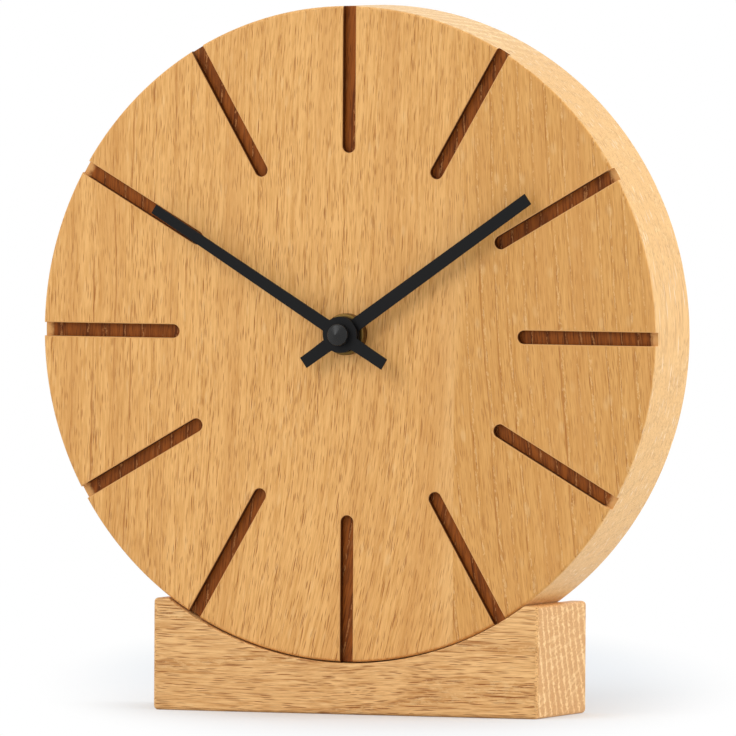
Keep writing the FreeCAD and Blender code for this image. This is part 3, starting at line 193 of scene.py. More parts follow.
ring_count = scaled(oak, ring_sway, 1.6, scaled(oak, uneven, 0.9, ring_place))
ring_phase = sums(oak, "FRACT", ring_count)
ring_random = node(oak, "TexWhiteNoise", {"W": sums(oak, "ROUND", ring_count)}, noise_dimensions="1D")
early_wood = about_ring_start(ring_phase, 0.42, 0.92)

# pores: long ones and short ones, crowded in the early wood, and a broken dark line where a ring starts
short_crowding = (1.2, 1.2, 1.7)
short_shift = (9.3, 4.7, 2.1)
per_width = sums(oak, "DIVIDE", 1.0, given["Pore Width"])
per_length = sums(oak, "DIVIDE", 1.0, given["Pore Length"])
pore_scale = from_parts(oak, per_width, per_width, per_length)
long_cell = cells(oak, fibre_place, pore_scale)
long_pore = product(oak, fades(oak, long_cell[0], 0.38, 0.16),
                    fades(oak, channels(oak, long_cell)[0], 0.0, 0.6), scaled(oak, early_wood, 0.65, 0.42))
short_place = moves(oak, "ADD", moves(oak, "MULTIPLY", fibre_place, pore_scale),
                    tuple(shift / crowding for shift, crowding in zip(short_shift, short_crowding)))
short_cell = cells(oak, short_place, short_crowding)
short_random = channels(oak, short_cell)
short_shape = fades(oak, short_cell[0], 0.36, 0.14)
short_pore = product(oak, short_shape, fades(oak, short_random[0], 0.05, 0.65))
pores = sums(oak, "MAXIMUM", long_pore, product(oak, short_pore, 0.8))
worn_away = along_grain(oak, timber, across=0.12, along=0.035)[0]
ring_line = product(oak, about_ring_start(ring_phase, 0.07, 0.95), fades(oak, worn_away, 0.35, 0.58),
                    fades(oak, ring_random.outputs["Value"], 0.1, 0.8, 0.25, 1.0))
pores = sums(oak, "MAXIMUM", pores, product(oak, ring_line, given["Ring Lines"]))
pores = sums(oak, "MULTIPLY", pores, given["Pore Strength"], clamp=True)

# pale pores: some of the short ones, and thin pale squiggles that follow the rings for a little way
flutter = along_grain(oak, timber, across=1.1, along=0.5, detail=3.0, rough=0.7)
squiggle_phase = sums(oak, "FRACT", scaled(oak, flutter[0], 0.35, ring_phase))
squiggle = product(oak, fades(oak, squiggle_phase, 0.22, 0.26), fades(oak, squiggle_phase, 0.34, 0.3),
                   fades(oak, channels(oak, flutter)[1], 0.45, 0.53))
pale_pores = product(oak, short_shape, fades(oak, short_random[1], 0.5, 0.8),
                     scaled(oak, early_wood, 0.8, 0.2))
pale_pores = sums(oak, "MAXIMUM", pale_pores, squiggle)
pale_pores = sums(oak, "MULTIPLY", pale_pores, given["Pale Pores"], clamp=True)

# tone: fine fibres, longer streaks and slow changes along the board
fibre = along_grain(oak, fibre_place, across=2.1, along=0.13, detail=3.0, rough=0.65)[0]
streak = along_grain(oak, fibre_place, across=1.0, along=0.03, detail=3.0, rough=0.6)[0]
broad = along_grain(oak, fibre_place, across=0.06, along=0.007, detail=3.0)[0]
tone = product(oak, scaled(oak, fibre, 2.7, scaled(oak, streak, 1.3, -2.0)), given["Streaks"])
tone = sums(oak, "ADD", tone, scaled(oak, broad, 0.5, 0.17))
ring_tone = sums(oak, "SUBTRACT", early_wood, 0.3)
tone = scaled(oak, ring_tone, given["Ring Strength"], tone, clamp=True)
wood = mixes(oak, tone, given["Pale"], given["Dark"])

# rays: short pale flakes where the cut runs across the rings
usual_off_heart = 190.0
heart_x, heart_y, _ = parts(oak, from_heart)
round_heart = product(oak, sums(oak, "ARCTAN2", heart_y, heart_x), usual_off_heart)
ray_place = from_parts(oak, round_heart, off_heart, parts(oak, fibre_place)[2])
ray_cell = cells(oak, ray_place, (1.0, 0.2, 0.16))
rays = product(oak, fades(oak, ray_cell[0], 0.36, 0.12), fades(oak, channels(oak, ray_cell)[0], 0.45, 0.9))
rays = sums(oak, "MULTIPLY", rays, given["Ray Strength"], clamp=True)
wood = mixes(oak, rays, wood, given["Ray"])
wood = mixes(oak, pores, wood, given["Pore"])
wood = mixes(oak, pale_pores, wood, given["Ray"])

# sawn ends: dotted pale rings crossed by thin pale rays
along_facing = sums(oak, "ABSOLUTE", parts(oak, given["Facing"])[2])
sawn_end = fades(oak, along_facing, 0.78, 0.95)
wriggle = along_grain(oak, fibre_place, across=0.8, along=0.1, detail=4.0, rough=0.75)[0]
end_phase = sums(oak, "FRACT", scaled(oak, wriggle, 1.5, ring_place))
end_rings = product(oak, fades(oak, end_phase, 0.0, 0.1), fades(oak, end_phase, 0.34, 0.2),
                    fades(oak, fibre, 0.36, 0.52, 0.3, 1.0))
end_rays = cloudy(oak, from_parts(oak, round_heart, off_heart), (0.5, 0.09, 1.0))[0]
end_pale = scaled(oak, fades(oak, end_rays, 0.5, 0.72), 0.4, product(oak, end_rings, 0.9))
end_pale = sums(oak, "ADD", end_pale, scaled(oak, fibre, 0.5, -0.08), clamp=True)
end_wood = mixes(oak, end_pale, given["Dark"], given["Ray"])
end_wood = mixes(oak, product(oak, pores, 0.4), end_wood, given["Pore"])
oak.links.new(mixes(oak, sawn_end, wood, end_wood), result["Color"])
oak.links.new(scaled(oak, pores, 0.2, scaled(oak, fibre, 0.12, 0.38)), result["Roughness"])
oak.links.new(scaled(oak, pores, -1.0, product(oak, fibre, 0.25)), result["Height"])


def new_material(name, tint, roughness, metallic=0.0, shine=0.5):
    """A material, its node tree and its shader's inputs, with the plain values set on those."""
    material = bpy.data.materials.new(name)
    material.use_nodes = True
    material.diffuse_color = tint
    tree = material.node_tree
    surface = tree.nodes["Principled BSDF"].inputs
    surface["Base Color"].default_value = tint
    surface["Roughness"].default_value = roughness
    surface["Metallic"].default_value = metallic
    surface["Specular IOR Level"].default_value = shine
    return material, tree, surface


def rest_place(tree):
    """The place on the clock in millimetres, from the middle of the base block's underside."""
    return moves(tree, "MULTIPLY", node(tree, "TexCoord").outputs["Object"], (1 / MM, 1 / MM, 1 / MM))


def dented(tree, height, depth):
    """The surface's normal with the height of a pattern pressed into it."""
    return node(tree, "Bump", {"Height": height, "Distance": depth, "Strength": 1.0}).outputs[0]


def oak_material(name, timber, facing, shine=0.25, **values):
    """A satin oiled oak finish from the shared oak group, whose inputs are given by name."""
    material, tree, surface = new_material(name, from_srgb(224, 169, 104), 0.45, shine=shine)
    group = node(tree, "Group", node_tree=oak)
    tree.links.new(timber(tree), group.inputs["Timber"])
    tree.links.new(facing(tree), group.inputs["Facing"])
    for label, value in values.items():
        group.inputs[label.replace("_", " ")].default_value = value
    tree.links.new(group.outputs["Color"], surface["Base Color"])
    tree.links.new(group.outputs["Roughness"], surface["Roughness"])
    tree.links.new(dented(tree, group.outputs["Height"], 0.05 * MM), surface["Normal"])
    return material, tree, surface, group


def level(tree, vector):
    """A vector in the axes of timber that lies from left to right."""
    x, y, z = parts(tree, vector)
    return from_parts(tree, y, z, x)


def level_timber(tree):
    """The place in timber that lies from left to right."""
    return level(tree, rest_place(tree))


def level_facing(tree):
    """The normal in the axes of timber that lies from left to right."""
    return level(tree, node(tree, "TexCoord").outputs["Normal"])


base_oak = oak_material("base oak", level_timber, level_facing, Heart=(95.0, 45.0, 0.0), Ring_Width=3.8,
                        Ring_Strength=0.25, Waviness=9.0, Ring_Lines=0.35, Streaks=1.0, Pore_Width=0.37,
                        Pore_Length=14.0, Pore_Strength=1.6, Pale_Pores=0.3, Ray_Strength=0.4,
                        Pale=from_srgb(242, 193, 130), Dark=from_srgb(199, 142, 80),
                        Pore=from_srgb(152, 90, 38))[0]


def new_piece(name, work, material):
    """A mesh object in the scene from a finished bmesh."""
    mesh = bpy.data.meshes.new(name)
    bmesh.ops.recalc_face_normals(work, faces=work.faces)
    work.to_mesh(mesh)
    work.free()
    mesh.materials.append(material)
    piece = bpy.data.objects.new(name, mesh)
    bpy.context.scene.collection.objects.link(piece)
    return piece


def place_piece(piece, body, slot, *nodes):
    """Put a finished piece on its body and hide the nodes that it stands for. The slot is not used."""
    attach(piece, body)
    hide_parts(*nodes)


def rounded_block(low, high, ease=0.0, steps=5):
    """A block between two corners, with all its edges rounded over where there is an ease."""
    work = bmesh.new()
    made = bmesh.ops.create_cube(work, size=1.0)
    for vertex in made["verts"]:
        vertex.co = Vector([low[axis] if vertex.co[axis] < 0 else high[axis] for axis in range(3)])
    if ease:
        bmesh.ops.bevel(work, geom=work.edges[:], offset=ease, segments=steps, profile=0.5,
                        affect="EDGES")
    return work


def lofted(outlines, ring=False):
    """A solid through outlines of as many points each: closed at both ends, or joined up as a ring."""
    work = bmesh.new()
    loops = [[work.verts.new(point) for point in outline] for outline in outlines]
    next_loops = loops[1:] + loops[:1] if ring else loops[1:]
    for first, second in zip(loops, next_loops):
        for index in range(len(first)):
            after = (index + 1) % len(first)
            work.faces.new((first[index], first[after], second[after], second[index]))
    if not ring:
        work.faces.new(loops[0])
        work.faces.new(loops[-1])
    return work


def turned(centre, steps, profile, ring=False):
    """A piece turned about the depth axis, from the (depth, radius) points of its profile."""
    turns = [2 * math.pi * step / steps for step in range(steps)]
    return lofted([[(centre.x + radius * math.sin(turn), depth, centre.z + radius * math.cos(turn))
                    for turn in turns] for depth, radius in profile], ring)


def quarter_round(depth, radius, ease, front, hole=False, steps=4):
    """Points of a quarter round along a front or back edge, of a solid or of the hole in one."""
    points = []
    for step in range(steps + 1):
        turn = math.pi / 2 * step / steps
        inward = ease * (1 - math.sin(turn)) * (-1 if hole else 1)
        back = ease * (1 - math.cos(turn)) * (1 if front else -1)
        points.append((depth + back, radius - inward))
    return points


def bake(piece):
    """Turn a piece's modifiers into its mesh."""
    bpy.context.view_layer.update()
    made = bpy.data.meshes.new_from_object(piece.evaluated_get(bpy.context.evaluated_depsgraph_get()))
    piece.modifiers.clear()
    piece.data = made


def carve(piece, *cutters):
    """Cut pieces out of another, and take away what was cut with."""
    for cutter in cutters:
        cut = piece.modifiers.new("cut", "BOOLEAN")
        cut.operation = "DIFFERENCE"
        cut.solver = "EXACT"
        cut.object = cutter
        cut.material_mode = "TRANSFER"
    bake(piece)
    for cutter in cutters:
        bpy.data.objects.remove(cutter)


def shade(piece, crisp=35.0):
    """Smooth shading over rounded edges, with the broad faces kept flat."""
    piece.data.shade_smooth()
    piece.data.set_sharp_from_angle(angle=math.radians(crisp))
    weigh = piece.modifiers.new("weighted normals", "WEIGHTED_NORMAL")
    weigh.keep_sharp = True
    weigh.weight = 100
    bake(piece)


ROUND_STEPS = 256
clear_of = 2 * MM
dial_low, dial_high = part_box("dial_block")
dial_centre = (dial_low + dial_high) / 2
dial_radius = (dial_high.x - dial_low.x) / 2
base_low, base_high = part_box("base_block")
base_ease = 1.1 * MM
cradle_ease = 0.35 * MM
cradle_gap = 0.3 * MM
cradle_radius = dial_radius + cradle_gap

base_block = new_piece("base_block_oak", rounded_block(base_low, base_high, base_ease), base_oak)
cradle = turned(dial_centre, ROUND_STEPS, (
    (base_low.y - clear_of, cradle_radius + cradle_ease),
    *quarter_round(base_low.y, cradle_radius, cradle_ease, front=True, hole=True),
    *reversed(quarter_round(base_high.y, cradle_radius, cradle_ease, front=False, hole=True)),
    (base_high.y + clear_of, cradle_radius + cradle_ease)))
carve(base_block, new_piece("cradle cutter", cradle, base_oak))
shade(base_block)
place_piece(base_block, "clock_body", "base_oak", "base_block")

# ---------------------------------------------------------------------------------------------------
# Loose tenon: a flat tongue of planed beech, with the small dark flecks of that wood. It is glued
# upright into a mortise in each block, so it holds the dial block in the cradle and can't be seen.
# ---------------------------------------------------------------------------------------------------


def finish_node(name, material):
    """Give a node of the CAD model its finish."""
    mesh = frame["nodes"][name].data
    mesh.materials.clear()
    mesh.materials.append(material)


beech, tree, surface = new_material("beech", from_srgb(224, 188, 148), 0.6)
fleck = product(tree, fades(tree, cells(tree, rest_place(tree), (1.6, 1.6, 0.4))[0], 0.3, 0.1), 0.5)
flecked = mixes(tree, fleck, from_srgb(226, 190, 150), from_srgb(186, 140, 98))
tree.links.new(flecked, surface["Base Color"])
finish_node("loose_tenon", beech)

# ---------------------------------------------------------------------------------------------------
# Dial block: a round of glued oak staves with the grain upright, and a recess in its back for the
# movement. The hour grooves are routed from the front through the rim and stained brown, and their
# edges are sanded soft.
# ---------------------------------------------------------------------------------------------------

dial_front = dial_low.y
dial_back = dial_high.y
rim_ease = 0.8 * MM
groove_depth = 2.0 * MM
groove_radius = 1.74 * MM
groove_inner = 47.0 * MM
groove_ease = 0.28 * MM
web_thickness = 5.5 * MM
recess_half = 30.0 * MM
recess_corner = 4.0 * MM
recess_ease = 0.3 * MM
bush_hole_radius = 4.25 * MM
tenon_fit = 0.05 * MM
GROOVES = 12
GROOVE_END_STEPS = 14
SMALL_STEPS = 64

# how the staves grow, in millimetres from the middle of the base block's underside
growth = {"Heart": (-160.0, 60.0, 0.0), "Ring_Width": 4.0, "Waviness": 9.0}
stave_seam = 29.5
stave_apart = 400.0
left_lean = -0.035
right_lean = 0.2
right_straightens = -0.000375
low_bend = 0.0011
bend_starts = -65.0
bend_full = -15.0


def upright_staves(tree):
    """Upright timber: it leans to the right, more so low down, and to the left in the right stave."""
    across, deep, up = parts(tree, rest_place(tree))
    right = sums(tree, "GREATER_THAN", across, stave_seam)
    lean = scaled(tree, right, scaled(tree, up, right_straightens, right_lean), left_lean)
    below_middle = sums(tree, "MAXIMUM", sums(tree, "SUBTRACT", dial_centre.z / MM, up), 0.0)
    bend = product(tree, below_middle, below_middle, low_bend,
                   fades(tree, across, bend_starts, bend_full), sums(tree, "SUBTRACT", 1.0, right))
    leaning = sums(tree, "ADD", bend, scaled(tree, up, lean, across))
    return from_parts(tree, leaning, deep, scaled(tree, right, stave_apart, up))


def upright_facing(tree):
    """The normal in the axes of upright timber."""
    return node(tree, "TexCoord").outputs["Normal"]


def front_facing(tree):
    """One where the surface faces the front or the back, and nought where it faces sideways."""
    return sums(tree, "ABSOLUTE", parts(tree, upright_facing(tree))[1])


dial_oak, tree, surface, group = oak_material(
    "dial oak", upright_staves, upright_facing, **growth, Pore_Width=0.38, Pore_Length=8.5,
    Ray_Strength=0.25, Pore=from_srgb(162, 95, 36))
across, _, height = parts(tree, rest_place(tree))
low_down = fades(tree, height, 165.0, 80.0)
rim = fades(tree, front_facing(tree), 0.75, 0.35)

# the seam is crisp low down, and higher up the two staves blend softly
crisp_seam_top = 80.0
above_crisp = sums(tree, "MAXIMUM", sums(tree, "SUBTRACT", height, crisp_seam_top), 0.0)
past_seam = sums(tree, "SUBTRACT", across, stave_seam)
right = fades(tree, sums(tree, "DIVIDE", past_seam, scaled(tree, above_crisp, 0.2, 0.1)), -0.6, 1.0)

# the right stave is a little darker and calmer, with more ring lines and more pale pores
ring_lines = scaled(tree, right, 0.6, fades(tree, across, -52.0, -28.0, 0.75, 0.15))
pore_strength = scaled(tree, low_down, 0.15, scaled(tree, rim, 0.5, 0.94))
by_place = {
    "Ring Lines": product(tree, ring_lines, scaled(tree, rim, -0.8, 1.0)),
    "Ring Strength": scaled(tree, right, 0.08, 0.2),
    "Streaks": scaled(tree, right, -0.35, 1.05),
    "Pale Pores": scaled(tree, right, 0.22, 0.13),
    "Pore Strength": scaled(tree, right, -0.25, pore_strength),
    "Pale": mixes(tree, right, from_srgb(238, 183, 112), from_srgb(227, 171, 99)),
    "Dark": mixes(tree, right, from_srgb(211, 152, 81), from_srgb(198, 138, 66)),
}
for label, value in by_place.items():
    tree.links.new(value, group.inputs[label])

# a pale strip beside the seam, soft brown bands on the front, and a paler rim with long flecks. The rim's
# paleness is partly its cut across the grain and partly a painted sheen
pale_strip_width = 7.0
pale_strip = product(tree, fades(tree, across, stave_seam - pale_strip_width, stave_seam), low_down,
                     sums(tree, "SUBTRACT", 1.0, right), 0.3)
tone_and_rim_sheen = mixes(tree, pale_strip, group.outputs["Color"], from_srgb(242, 194, 130))
bands = along_grain(tree, upright_staves(tree), across=0.12, along=0.005)[0]
bands = product(tree, fades(tree, bands, 0.46, 0.68), scaled(tree, rim, -0.45, 0.45))
tone_and_rim_sheen = mixes(tree, bands, tone_and_rim_sheen, from_srgb(208, 148, 80))
# painted sheen: the rim is mixed towards pale cream, partly also for its cut across the grain
tone_and_rim_sheen = mixes(tree, product(tree, rim, 0.28), tone_and_rim_sheen, from_srgb(244, 220, 166))
flecks = cells(tree, upright_staves(tree), (0.55, 1.2, 0.1))
fleck_random = channels(tree, flecks)
fleck = product(tree, rim, fades(tree, flecks[0], 0.42, 0.12))
dark_fleck = product(tree, fleck, fades(tree, fleck_random[0], 0.3, 0.8, 0.0, 0.75))
pale_fleck = product(tree, fleck, fades(tree, fleck_random[1], 0.55, 0.9, 0.0, 0.6))
tone_and_rim_sheen = mixes(tree, dark_fleck, tone_and_rim_sheen, from_srgb(186, 134, 80))
tree.links.new(mixes(tree, pale_fleck, tone_and_rim_sheen, from_srgb(254, 238, 208)), surface["Base Color"])

groove_oak, tree, surface, group = oak_material(
    "stained groove oak", upright_staves, upright_facing, shine=0.12, **growth, Ring_Strength=0.6,
    Streaks=1.2, Pore_Strength=0.8, Pore_Length=9.0, Pale_Pores=0.9, Ray_Strength=0.3,
    Pale=from_srgb(158, 84, 26), Dark=from_srgb(112, 54, 12), Pore=from_srgb(58, 26, 8),
    Ray=from_srgb(184, 120, 66))

# the walls of a groove get a painted shade, darker than the stain. The stain is sanded off along the front
# edge, and at the ends of the grooves on the left and the right, where these run out through the rim
sanded_depth = 0.28
bare_depth = 0.16
bare_end_starts = 83.4
bare_end_full = 84.8
# painted shade: the walls of a groove are darkened where they turn away from the front
painted_wall_shade = fades(tree, front_facing(tree), 0.8, 0.3, 0.0, 0.7)
stain_with_wall_shade = mixes(tree, painted_wall_shade, group.outputs["Color"], from_srgb(60, 27, 11))
groove_place = rest_place(tree)
aside, depth_place, _ = parts(tree, groove_place)
from_centre = moves(tree, "SUBTRACT", groove_place, (0.0, 0.0, dial_centre.z / MM))
off_centre = measures(tree, "LENGTH", moves(tree, "MULTIPLY", from_centre, (1, 0, 1)))
ragged = cloudy(tree, groove_place, (0.8, 0.8, 0.8))[0]
bare_end = product(
    tree, fades(tree, scaled(tree, ragged, 1.6, off_centre), bare_end_starts, bare_end_full),
    fades(tree, sums(tree, "ABSOLUTE", aside), 40.0, 55.0))
below_front = sums(tree, "SUBTRACT", depth_place, dial_front / MM)
bare = sums(tree, "MAXIMUM", bare_end, fades(tree, below_front, sanded_depth, bare_depth))
tree.links.new(mixes(tree, bare, stain_with_wall_shade, from_srgb(220, 164, 100)), surface["Base Color"])


def about_hub(turn, across, out, depth):
    """A point across and out from the hand axis, turned clockwise from twelve."""
    return Vector((dial_centre.x + across * math.cos(turn) + out * math.sin(turn), depth,
                   dial_centre.z - across * math.sin(turn) + out * math.cos(turn)))


def groove_outline(widen, depth, turn):
    """The outline of one groove at a depth, widened all round, turned to its hour."""
    radius = groove_radius + widen
    inner = groove_inner + groove_radius
    outer = dial_radius + 2 * clear_of
    points = [(radius, outer), (-radius, outer)]
    for step in range(GROOVE_END_STEPS + 1):
        angle = math.pi + math.pi * step / GROOVE_END_STEPS
        points.append((radius * math.cos(angle), inner + radius * math.sin(angle)))
    return [about_hub(turn, across, out, depth) for across, out in points]


def join_work(works):
    """Several solids in one bmesh."""
    joined = bmesh.new()
    for work in works:
        mesh = bpy.data.meshes.new("part of a cutter")
        bmesh.ops.recalc_face_normals(work, faces=work.faces)
        work.to_mesh(mesh)
        work.free()
        joined.from_mesh(mesh)
        bpy.data.meshes.remove(mesh)
    return joined


def recess_outline(widen, depth, steps=8):
    """The outline of the recess at a depth, widened all round: a square with round corners."""
    half = recess_half + widen
    corner = recess_corner + widen
    points = []
    for quarter in range(4):
        middle = math.pi / 4 + quarter * math.pi / 2
        corner_x = math.copysign(half - corner, math.cos(middle))
        corner_z = math.copysign(half - corner, math.sin(middle))
        for step in range(steps + 1):
            angle = quarter * math.pi / 2 + math.pi / 2 * step / steps
            points.append(Vector((dial_centre.x + corner_x + corner * math.cos(angle), depth,
                                  dial_centre.z + corner_z + corner * math.sin(angle))))
    return points


grooves = []
for hour in range(GROOVES):
    turn = 2 * math.pi * hour / GROOVES
    levels = [groove_outline(groove_ease, dial_front - clear_of, turn)]
    for depth, widen in quarter_round(dial_front, 0.0, groove_ease, front=True, hole=True):
        levels.append(groove_outline(widen, depth, turn))
    levels.append(groove_outline(0.0, dial_front + groove_depth, turn))
    grooves.append(lofted(levels))

recess = [recess_outline(0.0, dial_front + web_thickness)]
for depth, widen in reversed(quarter_round(dial_back, 0.0, recess_ease, front=False, hole=True)):
    recess.append(recess_outline(widen, depth))
recess.append(recess_outline(recess_ease, dial_back + clear_of))

bush_hole = turned(dial_centre, SMALL_STEPS, ((dial_front - clear_of, bush_hole_radius),
                                              (dial_front + web_thickness + clear_of, bush_hole_radius)))

tenon_low, tenon_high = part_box("loose_tenon")
fit_round = Vector((tenon_fit, tenon_fit, tenon_fit))
mortise = rounded_block(tenon_low - fit_round - Vector((0, 0, clear_of)), tenon_high + fit_round)

dial_blank = turned(dial_centre, ROUND_STEPS, (
    *quarter_round(dial_front, dial_radius, rim_ease, front=True),
    *reversed(quarter_round(dial_back, dial_radius, rim_ease, front=False))))
dial_block = new_piece("dial_block_oak", dial_blank, dial_oak)
carve(dial_block, new_piece("groove cutters", join_work(grooves), groove_oak),
      new_piece("recess cutter", lofted(recess), dial_oak),
      new_piece("bush hole cutter", bush_hole, dial_oak),
      new_piece("mortise cutter", mortise, dial_oak))
shade(dial_block)
place_piece(dial_block, "clock_body", "dial_oak", "dial_block")

# ---------------------------------------------------------------------------------------------------
# Movement: a quartz movement in a black moulded case with a snap-on cover. It has acetal plates and
# wheels, a motor of iron and copper, a small circuit board and nickel plated contacts. Its bush and
# the nut draw the case against the oak, with a rubber washer between them.
# ---------------------------------------------------------------------------------------------------

# The fine skin of a moulded, lacquered or metal piece: noise of so many waves per millimetre varies the
# roughness a little, and is put out as the height of the grain too.
skin, given, result = new_group(
    "fine skin",
    (("Place", "Vector", (0, 0, 0)), ("Waves", "Float", 5.0), ("Roughness", "Float", 0.5)),
    (("Roughness", "Float"), ("Height", "Float")))
waves = given["Waves"]
grain = cloudy(skin, given["Place"], from_parts(skin, waves, waves, waves), 3.0)[0]
smoothest = sums(skin, "SUBTRACT", given["Roughness"], 0.1)
skin.links.new(scaled(skin, grain, 0.2, smoothest), result["Roughness"])
skin.links.new(grain, result["Height"])


def skinned(name, tint, roughness, waves, metallic=0.0, shine=0.5):
    """A material with the fine skin, whose grain has so many waves per millimetre."""
    material, tree, surface = new_material(name, tint, roughness, metallic, shine)
    group = node(tree, "Group", node_tree=skin)
    tree.links.new(rest_place(tree), group.inputs["Place"])
    group.inputs["Waves"].default_value = waves
    group.inputs["Roughness"].default_value = roughness
    tree.links.new(group.outputs["Roughness"], surface["Roughness"])
    return material, tree, surface, group


def satin(name, tint, roughness=0.5, shine=0.5):
    """Moulded plastic, rubber or sprayed lacquer, with a fine dented skin."""
    material, tree, surface, group = skinned(name, tint, roughness, 5.0, shine=shine)
    tree.links.new(dented(tree, group.outputs["Height"], 0.02 * MM), surface["Normal"])
    return material


def metal(name, tint, roughness=0.35):
    """Bare metal with a slightly uneven polish."""
    return skinned(name, tint, roughness, 3.0, metallic=1.0)[0]


case_plastic = satin("case plastic", (0.02, 0.02, 0.022, 1.0), 0.45, shine=0.16)
knob_plastic = satin("knob plastic", (0.03, 0.03, 0.033, 1.0), 0.4, shine=0.16)
FINISHES = {
    "case_plastic": case_plastic,
    "knob_plastic": knob_plastic,
    "plate_plastic": satin("plate plastic", (0.55, 0.55, 0.52, 1.0)),
    "wheel_plastic": satin("wheel plastic", (0.75, 0.74, 0.70, 1.0), 0.4),
    "board_laminate": satin("board laminate", (0.08, 0.22, 0.07, 1.0), 0.4),
    "chip_resin": satin("chip resin", (0.02, 0.02, 0.02, 1.0), 0.6),
    "crystal_can": metal("crystal can", (0.75, 0.75, 0.76, 1.0), 0.25),
    "bobbin_plastic": satin("bobbin plastic", (0.7, 0.68, 0.62, 1.0)),
    "coil_copper": metal("coil copper", (0.72, 0.28, 0.12, 1.0)),
    "motor_iron": metal("motor iron", (0.45, 0.45, 0.46, 1.0), 0.4),
    "magnet_dark": metal("magnet dark", (0.12, 0.12, 0.13, 1.0), 0.45),
    "contact_nickel": metal("contact nickel", (0.72, 0.70, 0.66, 1.0), 0.25),
    "washer_rubber": satin("washer rubber", (0.03, 0.03, 0.03, 1.0), 0.75),
}
for entry in frame["record"]["subparts"]:
    if entry["material_slot"] in FINISHES:
        finish_node(entry["node"], FINISHES[entry["material_slot"]])

same_point = 0.002 * MM
flat_angle = 1.0
arris_angle = 50.0


def eased_copy(name, ease, material):
    """A piece of the CAD model with its arrises eased, as moulding leaves them."""
    work = bmesh.new()
    work.from_mesh(frame["nodes"][name].data)
    bmesh.ops.remove_doubles(work, verts=work.verts, dist=same_point)
    bmesh.ops.dissolve_limit(work, angle_limit=math.radians(flat_angle), verts=work.verts,
                             edges=work.edges)
    piece = new_piece(name + "_eased", work, material)
    bevel = piece.modifiers.new("ease", "BEVEL")
    bevel.width = ease
    bevel.segments = 2
    bevel.limit_method = "ANGLE"
    bevel.angle_limit = math.radians(arris_angle)
    bevel.use_clamp_overlap = True
    bake(piece)
    shade(piece)
    return piece


for name, ease in (("movement_case", 0.3 * MM), ("back_cover", 0.25 * MM)):
    place_piece(eased_copy(name, ease, case_plastic), "clock_body", "case_plastic", name)
knob = eased_copy("setting_knob", 0.2 * MM, knob_plastic)
place_piece(knob, "setting_knob_body", "knob_plastic", "setting_knob")

# ---------------------------------------------------------------------------------------------------
# Battery: an AA cell, a drawn steel can in a plain dark sleeve with one pale band. The sleeve is shrunk
# over both shoulders of the can and leaves the flat end and the button bare.
# ---------------------------------------------------------------------------------------------------

cell_low, cell_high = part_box("battery_cell")
cell_centre = (cell_low + cell_high) / 2
cell_radius = (cell_high.z - cell_low.z) / 2
button_height = 1.0 * MM
button_radius = 2.75 * MM
button_ease = 0.3 * MM
button_flare = 0.1 * MM
button_foot = 3.6 * MM
flat_end_radius = 4.6 * MM
flat_end_foot = 5.1 * MM
end_step = 0.25 * MM
sleeve_edge = 5.9 * MM
sleeve_lip = 0.15 * MM
sleeve_short = 0.05 * MM
edge_slack = 0.01 * MM
shoulder = 0.7 * MM
band_start = cell_high.x - 10.0 * MM
band_end = cell_high.x - 3.0 * MM
sleeve_dark = from_srgb(42, 44, 48)
sleeve_pale = from_srgb(178, 178, 176)

cell_sleeve, tree, surface = new_material("cell sleeve", sleeve_dark, 0.3)
along_cell = parts(tree, rest_place(tree))[0]
banded = product(tree, sums(tree, "GREATER_THAN", along_cell, band_start / MM),
                 sums(tree, "LESS_THAN", along_cell, band_end / MM))
tree.links.new(mixes(tree, banded, sleeve_dark, sleeve_pale), surface["Base Color"])
creases = cloudy(tree, rest_place(tree), (0.5, 2.0, 2.0))[0]
tree.links.new(scaled(tree, creases, 0.15, 0.22), surface["Roughness"])
tree.links.new(dented(tree, creases, 0.02 * MM), surface["Normal"])
can_steel = metal("can steel", (0.66, 0.65, 0.63, 1.0), 0.28)

# the cell is turned about the depth axis, and then laid along the clock's width
can_end = cell_high.x - button_height
cell_work = turned(Vector((cell_centre.y, 0, cell_centre.z)), SMALL_STEPS, (
    (cell_low.x, flat_end_radius), (cell_low.x + end_step, flat_end_foot),
    (cell_low.x + end_step, sleeve_edge), (cell_low.x + sleeve_short, sleeve_edge + sleeve_lip),
    *quarter_round(cell_low.x + sleeve_short, cell_radius, shoulder, front=True),
    *reversed(quarter_round(can_end - sleeve_short, cell_radius, shoulder, front=False)),
    (can_end - sleeve_short, sleeve_edge + sleeve_lip), (can_end - end_step, sleeve_edge),
    (can_end - end_step, button_foot), (can_end, button_radius + button_flare),
    (cell_high.x - button_ease, button_radius), (cell_high.x, button_radius - button_ease)))
for vertex in cell_work.verts:
    across, along, up = vertex.co
    vertex.co = (along, across, up)
for face in cell_work.faces:
    off_axis = [math.hypot(vertex.co.y - cell_centre.y, vertex.co.z - cell_centre.z)
                for vertex in face.verts]
    if max(off_axis) < sleeve_edge + edge_slack:
        face.material_index = 1
cell = new_piece("battery_sleeved", cell_work, cell_sleeve)
cell.data.materials.append(can_steel)
shade(cell)
place_piece(cell, "battery_body", "cell_jacket", "battery_cell")

# ---------------------------------------------------------------------------------------------------
# Hub nut: a round nut turned from brass bar, with its outer edge rounded and its bore chamfered at the
# front. Screwed on the movement's brass bush, it clamps the movement to the dial block.
# ---------------------------------------------------------------------------------------------------

nut_low, nut_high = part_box("hub_nut")
nut_radius = (nut_high.x - nut_low.x) / 2
nut_bore = 4.02 * MM
nut_ease = 0.4 * MM
nut_chamfer = 0.3 * MM
NUT_STEPS = 96

